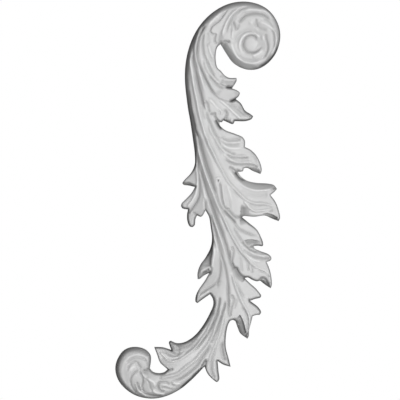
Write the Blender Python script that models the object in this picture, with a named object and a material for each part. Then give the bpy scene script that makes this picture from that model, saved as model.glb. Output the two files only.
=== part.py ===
"""Scroll onlay: one cast acanthus scroll with a flat back, hung or fixed on a wall.

The front faces -Y and the flat back lies on y = 0. The origin is on the back, in the
middle of the stem. The form is drawn on squared paper PATTERN_ROWS squares tall, columns
to the right and rows downward, and carved as a carver would: a rounded body first, then
cuts, ridges, steps and turned-down edges along lines.
"""
import math

import bpy
import numpy as np
from mathutils import Vector
from mathutils.geometry import delaunay_2d_cdt
from mathutils.kdtree import KDTree

# Sizes in metres
HEIGHT = 0.310            # tip to tip
STEM_RISE = 0.0180        # front of the upper and middle stem above the wall
NECK_RISE = 0.0155        # lower stem, where it is slimmest
SCROLL_RISE = 0.0200      # small scroll at the foot
VOLUTE_RISE = 0.0185      # rim of the large volute at the head
LEAF_RISE = 0.0118        # leaves far from the stem
LEAF_SPREAD = 0.0156      # how far from the stem the form falls to the leaves
LOW_UPRIGHT = 0.0040      # upright edge at the back of the stem and the keen leaf edges
TIP_UPRIGHT = 0.0045      # at the turned-down tips
SOLE_UPRIGHT = 0.0050     # under the small scroll and the volute
LEAF_UPRIGHT = 0.0055     # at a plain leaf edge
CROWN_UPRIGHT = 0.0060    # over the volute and round its right side
SOFT_UPRIGHT = 0.0085     # at a leaf edge that falls away gently
BAND_UPRIGHT = 0.0090     # at the flat band under the volute
BACK_SHOULDER = 0.0041    # width of the rounding at the back of the stem
CROWN_SHOULDER = 0.0051
CHEEK_SHOULDER = 0.0027
BAND_SHOULDER = 0.0047
SOLE_SHOULDER = 0.0043
SOFT_SHOULDER = 0.0039
TURNED_SHOULDER = 0.0055
TIP_SHOULDER = 0.0031
KEEN_SHOULDER = 0.0019
LEAF_SHOULDER = 0.0013
DISH_DEPTH = 0.0025       # hollow inside the volute's rim
EYE_RISE = 0.0012         # button in the middle of the volute
BLEND_RISE = 0.0020       # softness of the valley between volute and stem
CUT_DEPTH = 0.0015        # depth of a plain carved cut

# The pattern, in squares
PATTERN_ROWS = 397
MOUNT_COLUMN = 212
MOUNT_ROW = 200
VOLUTE_CENTRE = (250, 43.5)
VOLUTE_REACH = 40         # the volute's rim height fades out this far from its centre
VOLUTE_RIM = 26
DISH_RADIUS = 23
EYE_RADIUS = 7.2
POINT_SPACING = 2.8       # spacing of the carved surface's points
CURVE_STEP = 1.0          # spacing of the points that heights are measured from
BLEND_REACH = 2.5         # an edge changes kind over this far each way
BLOCK = 40                # edge points looked at together
ROW_SHARES = (0.4, 1.0)   # rows of points across a rounded edge
CLEARANCE = 0.7           # least share of the point spacing between rows and filling
SQUARE = HEIGHT / PATTERN_ROWS

# Kinds of edge: width of the rounding, upright height, and roundness, which is 1 for a flat slope
BACK = (BACK_SHOULDER, LOW_UPRIGHT, 1.9)
CROWN = (CROWN_SHOULDER, CROWN_UPRIGHT, 1.8)
CHEEK = (CHEEK_SHOULDER, CROWN_UPRIGHT, 2.0)
BAND = (BAND_SHOULDER, BAND_UPRIGHT, 1.2)
SOLE = (SOLE_SHOULDER, SOLE_UPRIGHT, 2.2)
SOFT = (SOFT_SHOULDER, SOFT_UPRIGHT, 2.2)
TURNED = (TURNED_SHOULDER, TIP_UPRIGHT, 1.35)
TIP = (TIP_SHOULDER, TIP_UPRIGHT, 1.2)
INNER = (KEEN_SHOULDER, TIP_UPRIGHT, 2.0)
KEEN = (KEEN_SHOULDER, LOW_UPRIGHT, 1.8)
CRISP = (LEAF_SHOULDER, LEAF_UPRIGHT, 1.9)


def head_edges():
    """Volute, arch and the back of the stem down to the first left leaf."""
    return [
        (BAND, [(220.5, 44), (226, 53), (233, 62.5), (242, 68), (250.5, 69.8)]),
        (SOLE, [(250.5, 69.8), (259, 68.5), (268, 63), (276, 53)]),
        (CHEEK, [(276, 53), (280, 40), (279.5, 29), (275, 18), (267, 9)]),
        (CROWN, [(267, 9), (256, 3.5), (243, 1.6), (229, 3.8), (215, 10.8)]),
        (BACK, [(215, 10.8), (203, 21.5), (194, 35), (188, 51), (185.2, 67), (185, 83),
                (186.8, 100), (190, 120), (192.7, 138), (194.8, 155), (194.6, 165)]),
        (SOFT, [(194.6, 165), (191, 173), (184.5, 180), (182.3, 183)]),
    ]


def left_leaf_edges():
    """The three lobes of the first left leaf, the stem, and the two teeth of the second."""
    return [
        (TIP, [(182.3, 183), (183.5, 184.7), (189, 185.6), (195, 187)]),
        (SOFT, [(195, 187), (191.5, 193), (186, 199), (181.6, 203.5), (181, 206.2)]),
        (TIP, [(181, 206.2), (182.5, 208.4), (188, 209.5)]),
        (INNER, [(188, 209.5), (187, 215), (187.6, 222), (189.8, 226.4), (192.5, 227),
                 (194.6, 225.3), (195.5, 219), (197, 215.4)]),
        (CRISP, [(197, 215.4), (201, 216.8), (203, 215), (205.5, 210.3)]),
        (INNER, [(205.5, 210.3), (209, 217), (210.8, 228), (212, 238), (210.6, 247.5)]),
        (SOFT, [(210.6, 247.5), (205.5, 257.5), (200, 265.5), (197.6, 273), (197.6, 279)]),
        (TIP, [(197.6, 279), (199.5, 279), (204, 275.5), (209.3, 272.8)]),
        (CRISP, [(209.3, 272.8), (205, 280.5), (198.5, 290)]),
        (INNER, [(198.5, 290), (195.8, 296), (195.6, 301.8), (197.5, 303.1)]),
        (KEEN, [(197.5, 303.1), (203, 299), (210, 294.2)]),
        (BACK, [(210, 294.2), (212.8, 299), (213.2, 305), (209.5, 314), (203, 325.5),
                (194.5, 335.8), (185, 342), (177, 343.2), (170.5, 340.7)]),
    ]


def foot_edges():
    """The teeth above the small scroll, the scroll, and the underside of the stem."""
    return [
        (INNER, [(170.5, 340.7), (168.9, 342.2), (169.8, 346), (171.3, 350)]),
        (SOFT, [(171.3, 350), (163, 347.4), (154.3, 347)]),
        (CRISP, [(154.3, 347), (157, 354), (160, 362), (164, 366), (167.8, 369.3)]),
        (TIP, [(167.8, 369.3), (164, 372.3), (158.5, 373.2), (153, 371.8), (149.8, 368.5)]),
        (CHEEK, [(149.8, 368.5), (150.9, 361), (150.6, 355.5)]),
        (BACK, [(150.6, 355.5), (146.5, 350.3), (140, 347.5), (131, 347.3), (123.5, 350.6),
                (117.5, 359), (115.3, 368), (117.5, 378.5), (124, 387.5)]),
        (SOLE, [(124, 387.5), (134, 394.6), (145, 398), (156, 398.4), (168, 395.4),
                (181, 388.6), (193, 378.4), (204.5, 366.5)]),
        (CRISP, [(204.5, 366.5), (207.5, 373.5), (212.5, 379)]),
        (KEEN, [(212.5, 379), (217, 382), (219.2, 379.5), (218.5, 371), (217.6, 361)]),
        (KEEN, [(217.6, 361), (223, 364.5), (230.6, 366.8)]),
        (INNER, [(230.6, 366.8), (228.5, 358), (225.9, 348), (225.8, 337), (227.8, 325.5),
                 (230, 320.9)]),
    ]


def lower_leaf_edges():
    """The fifth and fourth right leaves, from the bottom up."""
    return [
        (INNER, [(230, 320.9), (233, 319.9), (235.4, 321.2)]),
        (TURNED, [(235.4, 321.2), (237.8, 328), (240.2, 333.2), (247.3, 338.7)]),
        (CRISP, [(247.3, 338.7), (248.8, 336), (249.1, 330), (251.2, 322), (252.6, 316.2)]),
        (CRISP, [(252.6, 316.2), (256, 315), (259.6, 314.8)]),
        (KEEN, [(259.6, 314.8), (261.1, 312.3), (258.5, 307.5), (250, 300.8)]),
        (KEEN, [(250, 300.8), (255, 299), (260.6, 297.3), (261.2, 295)]),
        (CRISP, [(261.2, 295), (256, 288.6), (250, 283.3), (244.5, 278)]),
        (KEEN, [(244.5, 278), (248, 277.5), (252, 279.8), (257, 281.3), (260, 280.6)]),
        (TIP, [(260, 280.6), (265, 284.6), (270.6, 288.2)]),
        (CRISP, [(270.6, 288.2), (271.8, 285), (271, 275), (269, 267.5), (266.6, 262)]),
        (CRISP, [(266.6, 262), (270.7, 260.2), (271.3, 257.5), (268.3, 254.2)]),
        (SOFT, [(268.3, 254.2), (260, 251), (254.6, 248.4), (253.6, 246)]),
        (KEEN, [(253.6, 246), (258, 245.7), (262.6, 246), (263.1, 243.3)]),
        (CRISP, [(263.1, 243.3), (260.5, 236), (256.5, 229.2)]),
        (KEEN, [(256.5, 229.2), (249, 223), (242, 217.2)]),
    ]


def upper_leaf_edges():
    """The third, second and first right leaves, up to the inside of the arch."""
    return [
        (SOFT, [(242, 217.2), (243.5, 216.1), (254, 216.8), (265, 215.6)]),
        (TIP, [(265, 215.6), (272, 218.6), (278.6, 221.1)]),
        (CRISP, [(278.6, 221.1), (280, 218), (278.7, 210.5), (275.5, 202), (270.4, 195)]),
        (CRISP, [(270.4, 195), (274, 192.2), (277, 189)]),
        (TURNED, [(277, 189), (274, 185.2), (268, 183.6), (256, 182.8), (247, 180.7),
                  (240.5, 176), (237.8, 171.8)]),
        (CRISP, [(237.8, 171.8), (242.8, 171.2), (244, 168.4), (247, 167.9)]),
        (TIP, [(247, 167.9), (253, 171), (260.5, 174)]),
        (CRISP, [(260.5, 174), (261.7, 170), (260, 162.5), (255.5, 154.5), (250, 149.5),
                 (244.9, 147)]),
        (CRISP, [(244.9, 147), (244.8, 140.6), (242.5, 137.2), (235, 133.8), (225, 130),
                 (219.5, 124.6), (219.6, 121.8)]),
        (CRISP, [(219.6, 121.8), (221.4, 122.2), (223.5, 120.3)]),
        (KEEN, [(223.5, 120.3), (228, 122.4), (233, 124), (234.8, 121.1)]),
        (KEEN, [(234.8, 121.1), (246, 121), (251.5, 119), (253.2, 116.2)]),
        (KEEN, [(253.2, 116.2), (250, 113.8), (245, 110.4), (241, 103.5), (235.7, 99)]),
        (CRISP, [(235.7, 99), (238.8, 96), (239.8, 93), (237.5, 90.7), (232, 88.4)]),
        (CRISP, [(232, 88.4), (236.6, 80.7), (236.5, 78)]),
        (CRISP, [(236.5, 78), (229, 77.8), (224.6, 75.3)]),
        (INNER, [(224.6, 75.3), (221, 71), (217.6, 68), (215.8, 61), (216, 52), (217.5, 47),
                 (220.5, 44)]),
    ]


def stem_line():
    """The front of the stem from the arch to the small scroll: column, row, rise."""
    return [
        (262, 12, VOLUTE_RISE), (234, 12, VOLUTE_RISE), (209, 29, STEM_RISE),
        (198.5, 58, STEM_RISE), (200, 95, STEM_RISE), (206, 135, STEM_RISE),
        (212, 175, STEM_RISE), (220, 215, STEM_RISE), (227, 255, STEM_RISE),
        (229, 275, NECK_RISE), (225, 305, NECK_RISE), (213, 335, NECK_RISE),
        (190, 362, STEM_RISE), (160, 379, SCROLL_RISE), (133, 375, SCROLL_RISE),
        (128, 366, SCROLL_RISE), (134, 358, SCROLL_RISE), (143, 362, SCROLL_RISE),
    ]


def groove(depth, width, fade_in, fade_out, *points):
    """A cut with rounded sides: depth in CUT_DEPTH, the rest in squares."""
    return "groove", -depth, width, fade_in, fade_out, points


def ridge(depth, width, fade_in, fade_out, *points):
    """A raised line."""
    return "ridge", depth, width, fade_in, fade_out, points


def step(depth, width, fade_in, fade_out, *points):
    """One side stands over the other: the right side of the line for a positive depth."""
    return "step", depth, width, fade_in, fade_out, points


def volute_cuts():
    return [
        step(-1.0, 4, 6, 0, (228.4, 9.7), (224, 15.3), (219.3, 21.5), (212.2, 27.3), (210.7, 32),
             (215.5, 34.8), (215, 41)),
        groove(0.8, 3, 8, 6, (250.5, 7.4), (240.5, 10.3), (233.7, 15.6), (229.9, 22.4),
               (226.4, 34)),
        groove(1.0, 3.5, 4, 6, (239.4, 25), (242.7, 18.6), (249.8, 14.7), (259.2, 14.4), (271, 21)),
        groove(0.5, 3, 5, 5, (236, 45), (238.7, 35.9), (247.5, 31.5), (258, 34), (260.5, 38)),
        groove(1.2, 3, 5, 10, (256.8, 42), (255, 37.2), (250.2, 36), (244.6, 40), (243.6, 46.5),
               (248.2, 52.1), (255.1, 52.2), (261.5, 47.2), (263, 43.5)),
        ridge(0.7, 3.5, 5, 8, (259.5, 37.5), (254.6, 33), (246.4, 34.4), (240.2, 42.4),
              (241, 51.4), (244.6, 55)),
        groove(1.1, 3, 1, 2, (256.6, 19.3), (256, 25), (260.2, 28.3), (271, 33.3)),
        groove(1.1, 3, 1, 5, (265.3, 34), (267.6, 46.5), (266.2, 53.5), (261.5, 60)),
        groove(0.7, 3, 5, 2, (268, 28.2), (273.5, 36.5), (273.6, 45.9), (268.4, 58.4)),
        groove(1.0, 3, 1, 2, (222.6, 42.6), (226, 41.9), (230.6, 42.2)),
    ]


def flute_cuts():
    """The long flutes down the upper stem."""
    return [
        groove(1.2, 3.2, 6, 0, (206.9, 25.3), (199.6, 37.6), (197.2, 54.1), (201.7, 70), (210, 87),
               (220.7, 99.1), (228, 102), (235.5, 99.6)),
        ridge(0.9, 3, 8, 15, (200.6, 31.6), (195.5, 48.8), (198.2, 65), (203.2, 78.5)),
        groove(1.5, 3.6, 9, 10, (193.4, 50), (193.7, 62.4), (197.8, 80.8), (203.1, 102.6),
               (208.4, 118.5), (216, 134.4), (223, 141.8)),
        groove(0.9, 3, 5, 2, (204.8, 32.6), (202.7, 43.5), (206.4, 59.4), (217, 78.6)),
        groove(0.5, 3, 4, 6, (207.8, 41.2), (208.7, 51.8), (215.2, 64)),
        groove(1.0, 3, 6, 0, (207.5, 73.8), (215.4, 82.8), (226, 88.5), (232.6, 88.2)),
        ridge(0.9, 3, 8, 6, (204.6, 58), (208.6, 71), (220.4, 84.3)),
        ridge(1.0, 3, 12, 4, (193, 82), (198.2, 106.7), (204.4, 131.4), (211.7, 149.8),
              (222.7, 171.4), (233, 187.1), (245.4, 199.2), (261.8, 203.6), (274, 206.4)),
    ]


def upper_leaf_cuts():
    """The veins and overlapping lobes of the first, second and third right leaves."""
    return [
        step(-1.0, 3.5, 1, 0, (210.2, 113), (215.1, 113.4), (219, 121.6)),
        groove(1.8, 3, 2, 0, (216.5, 120.5), (219.2, 125.6)),
        ridge(0.8, 3.2, 5, 3, (218, 98.4), (229.5, 107.9), (241.6, 119.6)),
        groove(0.7, 3.2, 4, 5, (227.2, 103.2), (237.8, 108.5), (246.4, 116)),
        groove(0.8, 3, 3, 0, (223.1, 109.1), (227, 113.4), (224.4, 120.4)),
        groove(0.7, 3.2, 4, 2, (220.2, 136.6), (229.6, 140.5), (241, 139)),
        ridge(0.9, 3, 8, 6, (208.4, 123), (214.9, 137.9), (224.9, 151.4), (233.2, 155.4),
              (248, 154.8)),
        groove(0.8, 3, 4, 3, (224.9, 153.6), (232, 157.6), (249, 157.8)),
        groove(0.8, 3, 5, 2, (224.4, 158.2), (234.4, 163.9), (246.7, 164.5), (257.8, 168)),
        step(-0.9, 3, 1, 0, (228.6, 167), (234, 169.6), (240, 171.2)),
        groove(2.2, 3, 1, 4, (236, 172), (239.4, 176.6), (246, 180.6)),
        ridge(0.8, 3, 3, 3, (243.6, 200.6), (249.4, 207.8), (258.8, 211.2), (271, 209.2)),
        groove(0.9, 4.5, 1, 0, (242.6, 207.6), (244.4, 215)),
        groove(0.9, 3, 5, 0.5, (219.6, 180.5), (222.3, 199.4), (225.4, 207.4), (229.6, 209)),
        groove(1.0, 3, 1, 1, (226.8, 210.4), (232.1, 213.5), (241.4, 216.7)),
    ]


def main_vein_cuts():
    """The deep cuts and the long ridges that run down the middle of the stem."""
    return [
        groove(1.9, 4.5, 10, 12, (197.3, 131.4), (203.8, 156.7), (212.6, 183), (219.4, 203.5),
               (224.7, 210.8)),
        groove(1.3, 3, 4, 4, (222.6, 208.4), (231.8, 218.2), (236.2, 225), (247.6, 233.2),
               (257.8, 237.8)),
        ridge(1.0, 3, 10, 12, (197, 141), (205.5, 173.8), (216, 201.2), (229.6, 231.4),
              (240.6, 250.2), (253.2, 264.2), (262, 269.4)),
        groove(1.7, 3.6, 8, 1, (199.4, 166), (207.6, 192.9), (219.1, 225.5), (228.6, 253.2),
               (234, 270), (243.8, 282)),
        groove(1.0, 3, 6, 2, (210.6, 214), (216.8, 237.3), (225.8, 269.6), (228.4, 296), (230, 318)),
        ridge(1.0, 3, 5, 8, (212, 212), (219.4, 235.4), (226.3, 257)),
    ]


def lower_leaf_cuts():
    """The veins and overlapping lobes of the fourth and fifth right leaves."""
    return [
        groove(0.8, 3.5, 2, 1, (245, 237), (251.7, 240.8), (258.6, 241.8)),
        groove(1.2, 3, 3, 4, (241.4, 240), (250.5, 249.6), (258, 252.2)),
        groove(0.9, 3.4, 3, 1, (243.6, 249), (251.4, 255.6), (269.4, 258.6)),
        groove(1.3, 3, 1, 0, (232, 262), (236.8, 267.6), (246, 277.2)),
        groove(0.7, 3, 3, 2, (255.4, 267.6), (263.5, 271.6), (269.6, 277.6)),
        groove(1.6, 3.2, 1, 0, (260.8, 279), (264.9, 279.6), (268, 285.4)),
        ridge(0.9, 3, 6, 2, (232, 273), (240.7, 298.3), (249.3, 317), (249.4, 330)),
        groove(0.6, 3, 4, 3, (241.2, 305.6), (247, 315.2), (247, 333)),
        groove(1.8, 4.5, 1, 0, (239.8, 316), (242, 325), (246, 335)),
        groove(0.7, 3, 1, 1, (232, 295.4), (234.3, 300), (230.8, 316)),
    ]


def left_leaf_cuts():
    return [
        groove(1.0, 3, 8, 1, (195.6, 146), (199.4, 178), (197.2, 201), (188.6, 214)),
        groove(0.8, 3, 3, 3, (220.8, 254), (220, 273.4), (214, 284.6), (198.6, 296.6)),
        groove(1.5, 4, 4, 1, (211.4, 244), (210, 254), (205, 263)),
        groove(1.4, 3.2, 1, 2, (211, 268), (206, 271.4), (202, 274.4)),
        ridge(0.8, 3, 3, 1, (199.4, 272.4), (210.4, 265.8)),
    ]


def foot_cuts():
    """The flutes of the lower stem, and the small scroll with its leaf."""
    return [
        groove(1.0, 3, 3, 10, (220, 296), (215.6, 316.6), (204.4, 338.5), (190, 354)),
        groove(1.0, 3.4, 4, 6, (225.8, 300), (218, 326), (208.6, 348.5), (197.6, 365),
               (184.4, 375), (170, 380.4)),
        ridge(1.0, 3.2, 5, 3, (217, 309), (206.4, 332.6), (194.6, 347.9), (181.4, 357.9),
              (171.5, 360.3), (160, 351)),
        ridge(0.9, 3.4, 5, 4, (221.6, 309), (211.4, 338.7), (200.6, 353.8), (187.4, 365.6),
              (167, 376)),
        groove(0.9, 3, 4, 1, (216.4, 346), (211.9, 363.2), (215, 377.9)),
        groove(1.7, 3, 1, 0, (201.8, 366.8), (205.6, 360.4)),
        groove(1.5, 4.2, 4, 5, (199.4, 337.6), (184.4, 346.4), (174.4, 343.6)),
        groove(1.2, 3, 0, 2, (171.4, 345.6), (173.4, 352), (180, 350.6)),
        ridge(0.9, 3, 3, 3, (149.4, 361), (140.6, 354.6), (126.9, 358.8), (122.8, 371.8),
              (132, 389.5)),
        groove(0.9, 3, 2, 3, (137, 360.9), (129.4, 365.2), (127.6, 371)),
        groove(1.2, 3, 1, 2, (149.2, 367.4), (142.4, 369)),
        groove(0.9, 3, 1, 1, (138.6, 369.8), (130.8, 379.3), (136.6, 392.4)),
        groove(1.0, 3, 1, 1, (140.2, 369.9), (143.5, 380.5), (144.4, 391)),
        groove(0.8, 3, 1, 3, (146, 378), (150.3, 386.4), (154.6, 392.4)),
        groove(1.1, 3, 1, 1, (161.4, 380.9), (158.6, 385.2), (165, 391)),
    ]


def cubic(a, b, c, d, share):
    """A smooth curve from b to c on its way from a to d, with centripetal knots."""
    knots = [0.0]
    for first, last in ((a, b), (b, c), (c, d)):
        knots.append(knots[-1] + math.sqrt(math.dist(first[:2], last[:2])))
    k0, k1, k2, k3 = knots
    t = (k1 + (k2 - k1) * share)[:, None]
    ab = (k1 - t) / (k1 - k0) * a + (t - k0) / (k1 - k0) * b
    bc = (k2 - t) / (k2 - k1) * b + (t - k1) / (k2 - k1) * c
    cd = (k3 - t) / (k3 - k2) * c + (t - k2) / (k3 - k2) * d
    first = (k2 - t) / (k2 - k0) * ab + (t - k0) / (k2 - k0) * bc
    last = (k3 - t) / (k3 - k1) * bc + (t - k1) / (k3 - k1) * cd
    return (k2 - t) / (k2 - k1) * first + (t - k1) / (k2 - k1) * last


def curve(points, spacing):
    """A smooth line through the points, with a point about every spacing squares."""
    given = np.array(points, float)
    ends = np.vstack([2 * given[0] - given[1], given, 2 * given[-1] - given[-2]])
    pieces = []
    for a, b, c, d in zip(ends, ends[1:], ends[2:], ends[3:]):
        count = max(1, round(math.dist(b[:2], c[:2]) / spacing))
        pieces.append(cubic(a, b, c, d, np.arange(count) / count))
    pieces.append(given[-1:])
    return np.vstack(pieces)


def blended(values, reach):
    """A running mean round the edge."""
    return np.mean([np.roll(values, k, 0) for k in range(-reach, reach + 1)], axis=0)


def joined_runs():
    """The runs of the edge, with neighbours that share a direction made one curve."""
    runs = head_edges() + left_leaf_edges() + foot_edges() + lower_leaf_edges() + upper_leaf_edges()
    joined = []
    for kind, run in runs:
        if joined and smooth_joint(joined[-1][1], run):
            joined[-1][0].extend([kind] * (len(run) - 1))
            joined[-1][1].extend(run[1:])
        else:
            joined.append([[kind] * len(run), list(run)])
    return joined


def smooth_joint(before, after):
    """Whether a run goes on in nearly the direction of the last one."""
    one = Vector(before[-1]) - Vector(before[-2])
    two = Vector(after[1]) - Vector(after[0])
    return one.angle(two) < math.radians(38)


def outline(spacing):
    """The whole edge as rows of column, row, rounding width, upright height, roundness."""
    rows = []
    for kinds, run in joined_runs():
        marked = [place + (kind[0] / SQUARE,) + kind[1:] for place, kind in zip(run, kinds)]
        rows.append(curve(marked, spacing)[:-1])
    edge = np.vstack(rows)
    edge[:, 2:] = blended(edge[:, 2:], round(BLEND_REACH / spacing))
    return edge


def nearest(places, line):
    """From each place to a line: the distance, the side, the way along, and that point's row."""
    starts = line[:-1, :2]
    run = line[1:, :2] - starts
    away = places[:, None, :] - starts[None, :, :]
    lengths = np.hypot(run[:, 0], run[:, 1])
    share = np.clip((away * run).sum(2) / lengths ** 2, 0, 1)
    off = away - share[:, :, None] * run
    distance = np.hypot(off[:, :, 0], off[:, :, 1])
    best = distance.argmin(1)
    each = np.arange(len(places))
    share = share[each, best]
    off = off[each, best]
    side = np.sign(run[best, 0] * off[:, 1] - run[best, 1] * off[:, 0])
    begun = np.concatenate([[0], np.cumsum(lengths)[:-1]])
    at = line[best] + (line[best + 1] - line[best]) * share[:, None]
    return distance[each, best], side, begun[best] + share * lengths[best], at


def around(places, line, reach):
    """The numbers of the places in the box round a line."""
    low = line[:, :2].min(0) - reach
    high = line[:, :2].max(0) + reach
    return np.flatnonzero(((places > low) & (places < high)).all(1))


def ease(value):
    """A soft climb from 0 to 1."""
    value = np.clip(value, 0, 1)
    return value * value * (3 - 2 * value)


def higher(first, second):
    """The greater of two heights, rounded where they meet."""
    return 0.5 * (first + second + np.sqrt((first - second) ** 2 + BLEND_RISE ** 2))


def body_rise(places):
    """The form before carving: the stem's round front, the leaves' level and the volute."""
    distance, _, _, at = nearest(places, curve(stem_line(), 2 * CURVE_STEP))
    stem = (at[:, 2] - LEAF_RISE) * np.exp(-(distance * SQUARE / LEAF_SPREAD) ** 2)
    radius = np.hypot(places[:, 0] - VOLUTE_CENTRE[0], places[:, 1] - VOLUTE_CENTRE[1])
    near_volute = ease((VOLUTE_REACH - radius) / (VOLUTE_REACH - VOLUTE_RIM))
    rise = LEAF_RISE + higher(stem, (VOLUTE_RISE - LEAF_RISE) * near_volute)
    rise -= DISH_DEPTH * np.clip(1 - (radius / DISH_RADIUS) ** 2, 0, 1) ** 2
    return rise + EYE_RISE * np.clip(1 - (radius / EYE_RADIUS) ** 2, 0, 1)


def cut_rise(places, cut, line):
    """What one line of carving adds to the form at each place."""
    kind, depth, width, fade_in, fade_out, _ = cut
    distance, side, along, _ = nearest(places, line)
    length = np.hypot(*np.diff(line, axis=0).T).sum()
    strength = np.ones(len(places))
    if fade_in:
        strength *= ease(along / fade_in)
    if fade_out:
        strength *= ease((length - along) / fade_out)
    slope = np.clip(1 - distance / (width * (0.5 + 0.5 * strength)), 0, 1) ** 2
    if kind == "step":
        return depth * CUT_DEPTH * strength * 0.5 * slope * side
    return depth * CUT_DEPTH * strength * slope


def rounding(places):
    """How far up its rounded edge each place is, from 0 to 1, and the upright height there."""
    edge = outline(CURVE_STEP)
    inward = np.ones(len(places))
    upright = np.zeros(len(places))
    roundness = np.ones(len(places))
    for first in range(0, len(edge), BLOCK):
        line = edge[np.arange(first, min(first + BLOCK, len(edge)) + 1) % len(edge)]
        near = around(places, line, edge[:, 2].max())
        if not len(near):
            continue
        distance, _, _, at = nearest(places[near], line)
        share = distance / at[:, 2]
        closer = share < inward[near]
        inward[near[closer]] = share[closer]
        upright[near[closer]] = at[closer, 3]
        roundness[near[closer]] = at[closer, 4]
    return (1 - (1 - inward) ** roundness) ** (1 / roundness), upright


def carved_rise(places, cuts):
    """The finished height above the wall at each place of the pattern."""
    rise = body_rise(places)
    for cut in cuts:
        line = curve(cut[5], CURVE_STEP)
        near = around(places, line, 2 * cut[2])
        rise[near] += cut_rise(places[near], cut, line)
    share, upright = rounding(places)
    return upright + (np.maximum(rise, upright) - upright) * share


def inside(places, loop):
    """Whether each place is inside the loop."""
    starts = loop
    run = np.roll(loop, -1, 0) - loop
    above = (starts[:, 1] > places[:, 1:]) != (starts[:, 1] + run[:, 1] > places[:, 1:])
    level = np.where(run[:, 1] == 0, 1, run[:, 1])
    crossing = starts[:, 0] + (places[:, 1:] - starts[:, 1]) * run[:, 0] / level
    return (above & (places[:, :1] < crossing)).sum(1) % 2 == 1


def clear_of(places, others, gap):
    """The places that keep a gap to all the other points."""
    tree = KDTree(len(others))
    for number, (column, row) in enumerate(others):
        tree.insert((column, row, 0), number)
    tree.balance()
    return places[[tree.find((column, row, 0))[2] > gap for column, row in places]]


def edge_rows(edge, spacing):
    """Points in rows that follow the edge across its rounding."""
    loop = edge[:, :2]
    run = np.roll(loop, -1, 0) - np.roll(loop, 1, 0)
    inward = np.column_stack([run[:, 1], -run[:, 0]]) / np.hypot(run[:, 0], run[:, 1])[:, None]
    rows = []
    for share in ROW_SHARES:
        offset = share * edge[:, 2]
        places = loop + inward * offset[:, None]
        gap = nearest(places, np.vstack([loop, loop[:1]]))[0]
        kept = places[(gap > 0.9 * offset) & (offset > 0.45 * spacing) & inside(places, loop)]
        rows.append(clear_of(kept, rows[-1], CLEARANCE * spacing) if rows else kept)
    return np.vstack(rows)


def beside(line, width):
    """A row of points on each side of a line, where the cut's slopes end."""
    run = np.gradient(line, axis=0)
    across = np.column_stack([-run[:, 1], run[:, 0]]) / np.hypot(run[:, 0], run[:, 1])[:, None]
    return np.vstack([line + width * across, line - width * across])


def filling(loop, spacing):
    """Points in staggered rows all over the inside."""
    low = loop.min(0)
    high = loop.max(0)
    places = []
    for number, row in enumerate(np.arange(low[1], high[1], spacing * math.sqrt(0.75))):
        start = low[0] + (number % 2) * spacing / 2
        places += [(column, row) for column in np.arange(start, high[0], spacing)]
    places = np.array(places)
    return places[inside(places, loop)]


def triangulate(points, edges, loop_size):
    """Triangles inside the loop of the first points, with every edge kept."""
    flat = [Vector((column, -row)) for column, row in points]
    found = delaunay_2d_cdt(flat, edges, [list(range(loop_size))], 1, 1e-5)
    return np.array([(v.x, -v.y) for v in found[0]]), [tuple(face) for face in found[2]]


def boundary(faces):
    """The open edges in order, as one loop of point numbers."""
    directed = set()
    for face in faces:
        directed.update(zip(face, face[1:] + face[:1]))
    follow = {a: b for a, b in directed if (b, a) not in directed}
    first = min(follow)
    loop = [first]
    while follow[loop[-1]] != first:
        loop.append(follow[loop[-1]])
    return loop


def front_mesh(cuts, spacing):
    """The carved front as points on the pattern, their rises and the triangles."""
    edge = outline(spacing)
    loop = edge[:, :2]
    points = [loop]
    edges = []
    count = len(loop)
    for cut in cuts:
        line = clear_of(curve(cut[5], spacing), loop, CLEARANCE * spacing)
        if len(line) > 1:
            points.append(line)
            edges += [(count + k, count + k + 1) for k in range(len(line) - 1)]
            count += len(line)
    points.append(clear_of(edge_rows(edge, spacing), np.vstack(points), 0.5 * spacing))
    for cut in cuts:
        sides = beside(curve(cut[5], spacing), cut[2])
        points.append(clear_of(sides[inside(sides, loop)], np.vstack(points), 0.6 * spacing))
    points.append(clear_of(filling(loop, spacing), np.vstack(points), CLEARANCE * spacing))
    places, faces = triangulate(np.vstack(points), edges, len(loop))
    return places, carved_rise(places, cuts), faces


def solid(places, rises, faces):
    """Closes the front with upright edges and a flat back."""
    def corner(place, rise):
        return ((place[0] - MOUNT_COLUMN) * SQUARE, -rise, (MOUNT_ROW - place[1]) * SQUARE)

    loop = boundary(faces)
    vertices = [corner(place, rise) for place, rise in zip(places, rises)]
    first = len(vertices)
    vertices += [corner(places[k], 0.0) for k in loop]
    count = len(loop)
    walls = []
    for k in range(count):
        after = (k + 1) % count
        walls.append((loop[after], loop[k], first + k, first + after))
    back = [tuple(first + k for k in reversed(face)) for face in triangulate(places[loop], [], count)[1]]
    return vertices, faces + walls + back


def primer():
    """Smooth white factory primer."""
    material = bpy.data.materials.new("white_primer")
    material.use_nodes = True
    shader = material.node_tree.nodes["Principled BSDF"]
    shader.inputs["Base Color"].default_value = (0.80, 0.80, 0.80, 1.0)
    shader.inputs["Roughness"].default_value = 0.5
    shader.inputs["Metallic"].default_value = 0.0
    return material


def scroll_onlay():
    """The whole casting."""
    cuts = (volute_cuts() + flute_cuts() + upper_leaf_cuts() + main_vein_cuts()
            + lower_leaf_cuts() + left_leaf_cuts() + foot_cuts())
    vertices, faces = solid(*front_mesh(cuts, POINT_SPACING))
    mesh = bpy.data.meshes.new("scroll_onlay")
    mesh.from_pydata(vertices, [], faces)
    mesh.materials.append(primer())
    piece = bpy.data.objects.new("scroll_onlay", mesh)
    bpy.context.scene.collection.objects.link(piece)
    return piece


def clear_scene():
    for old in list(bpy.data.objects):
        bpy.data.objects.remove(old)


clear_scene()
scroll_onlay()
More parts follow.
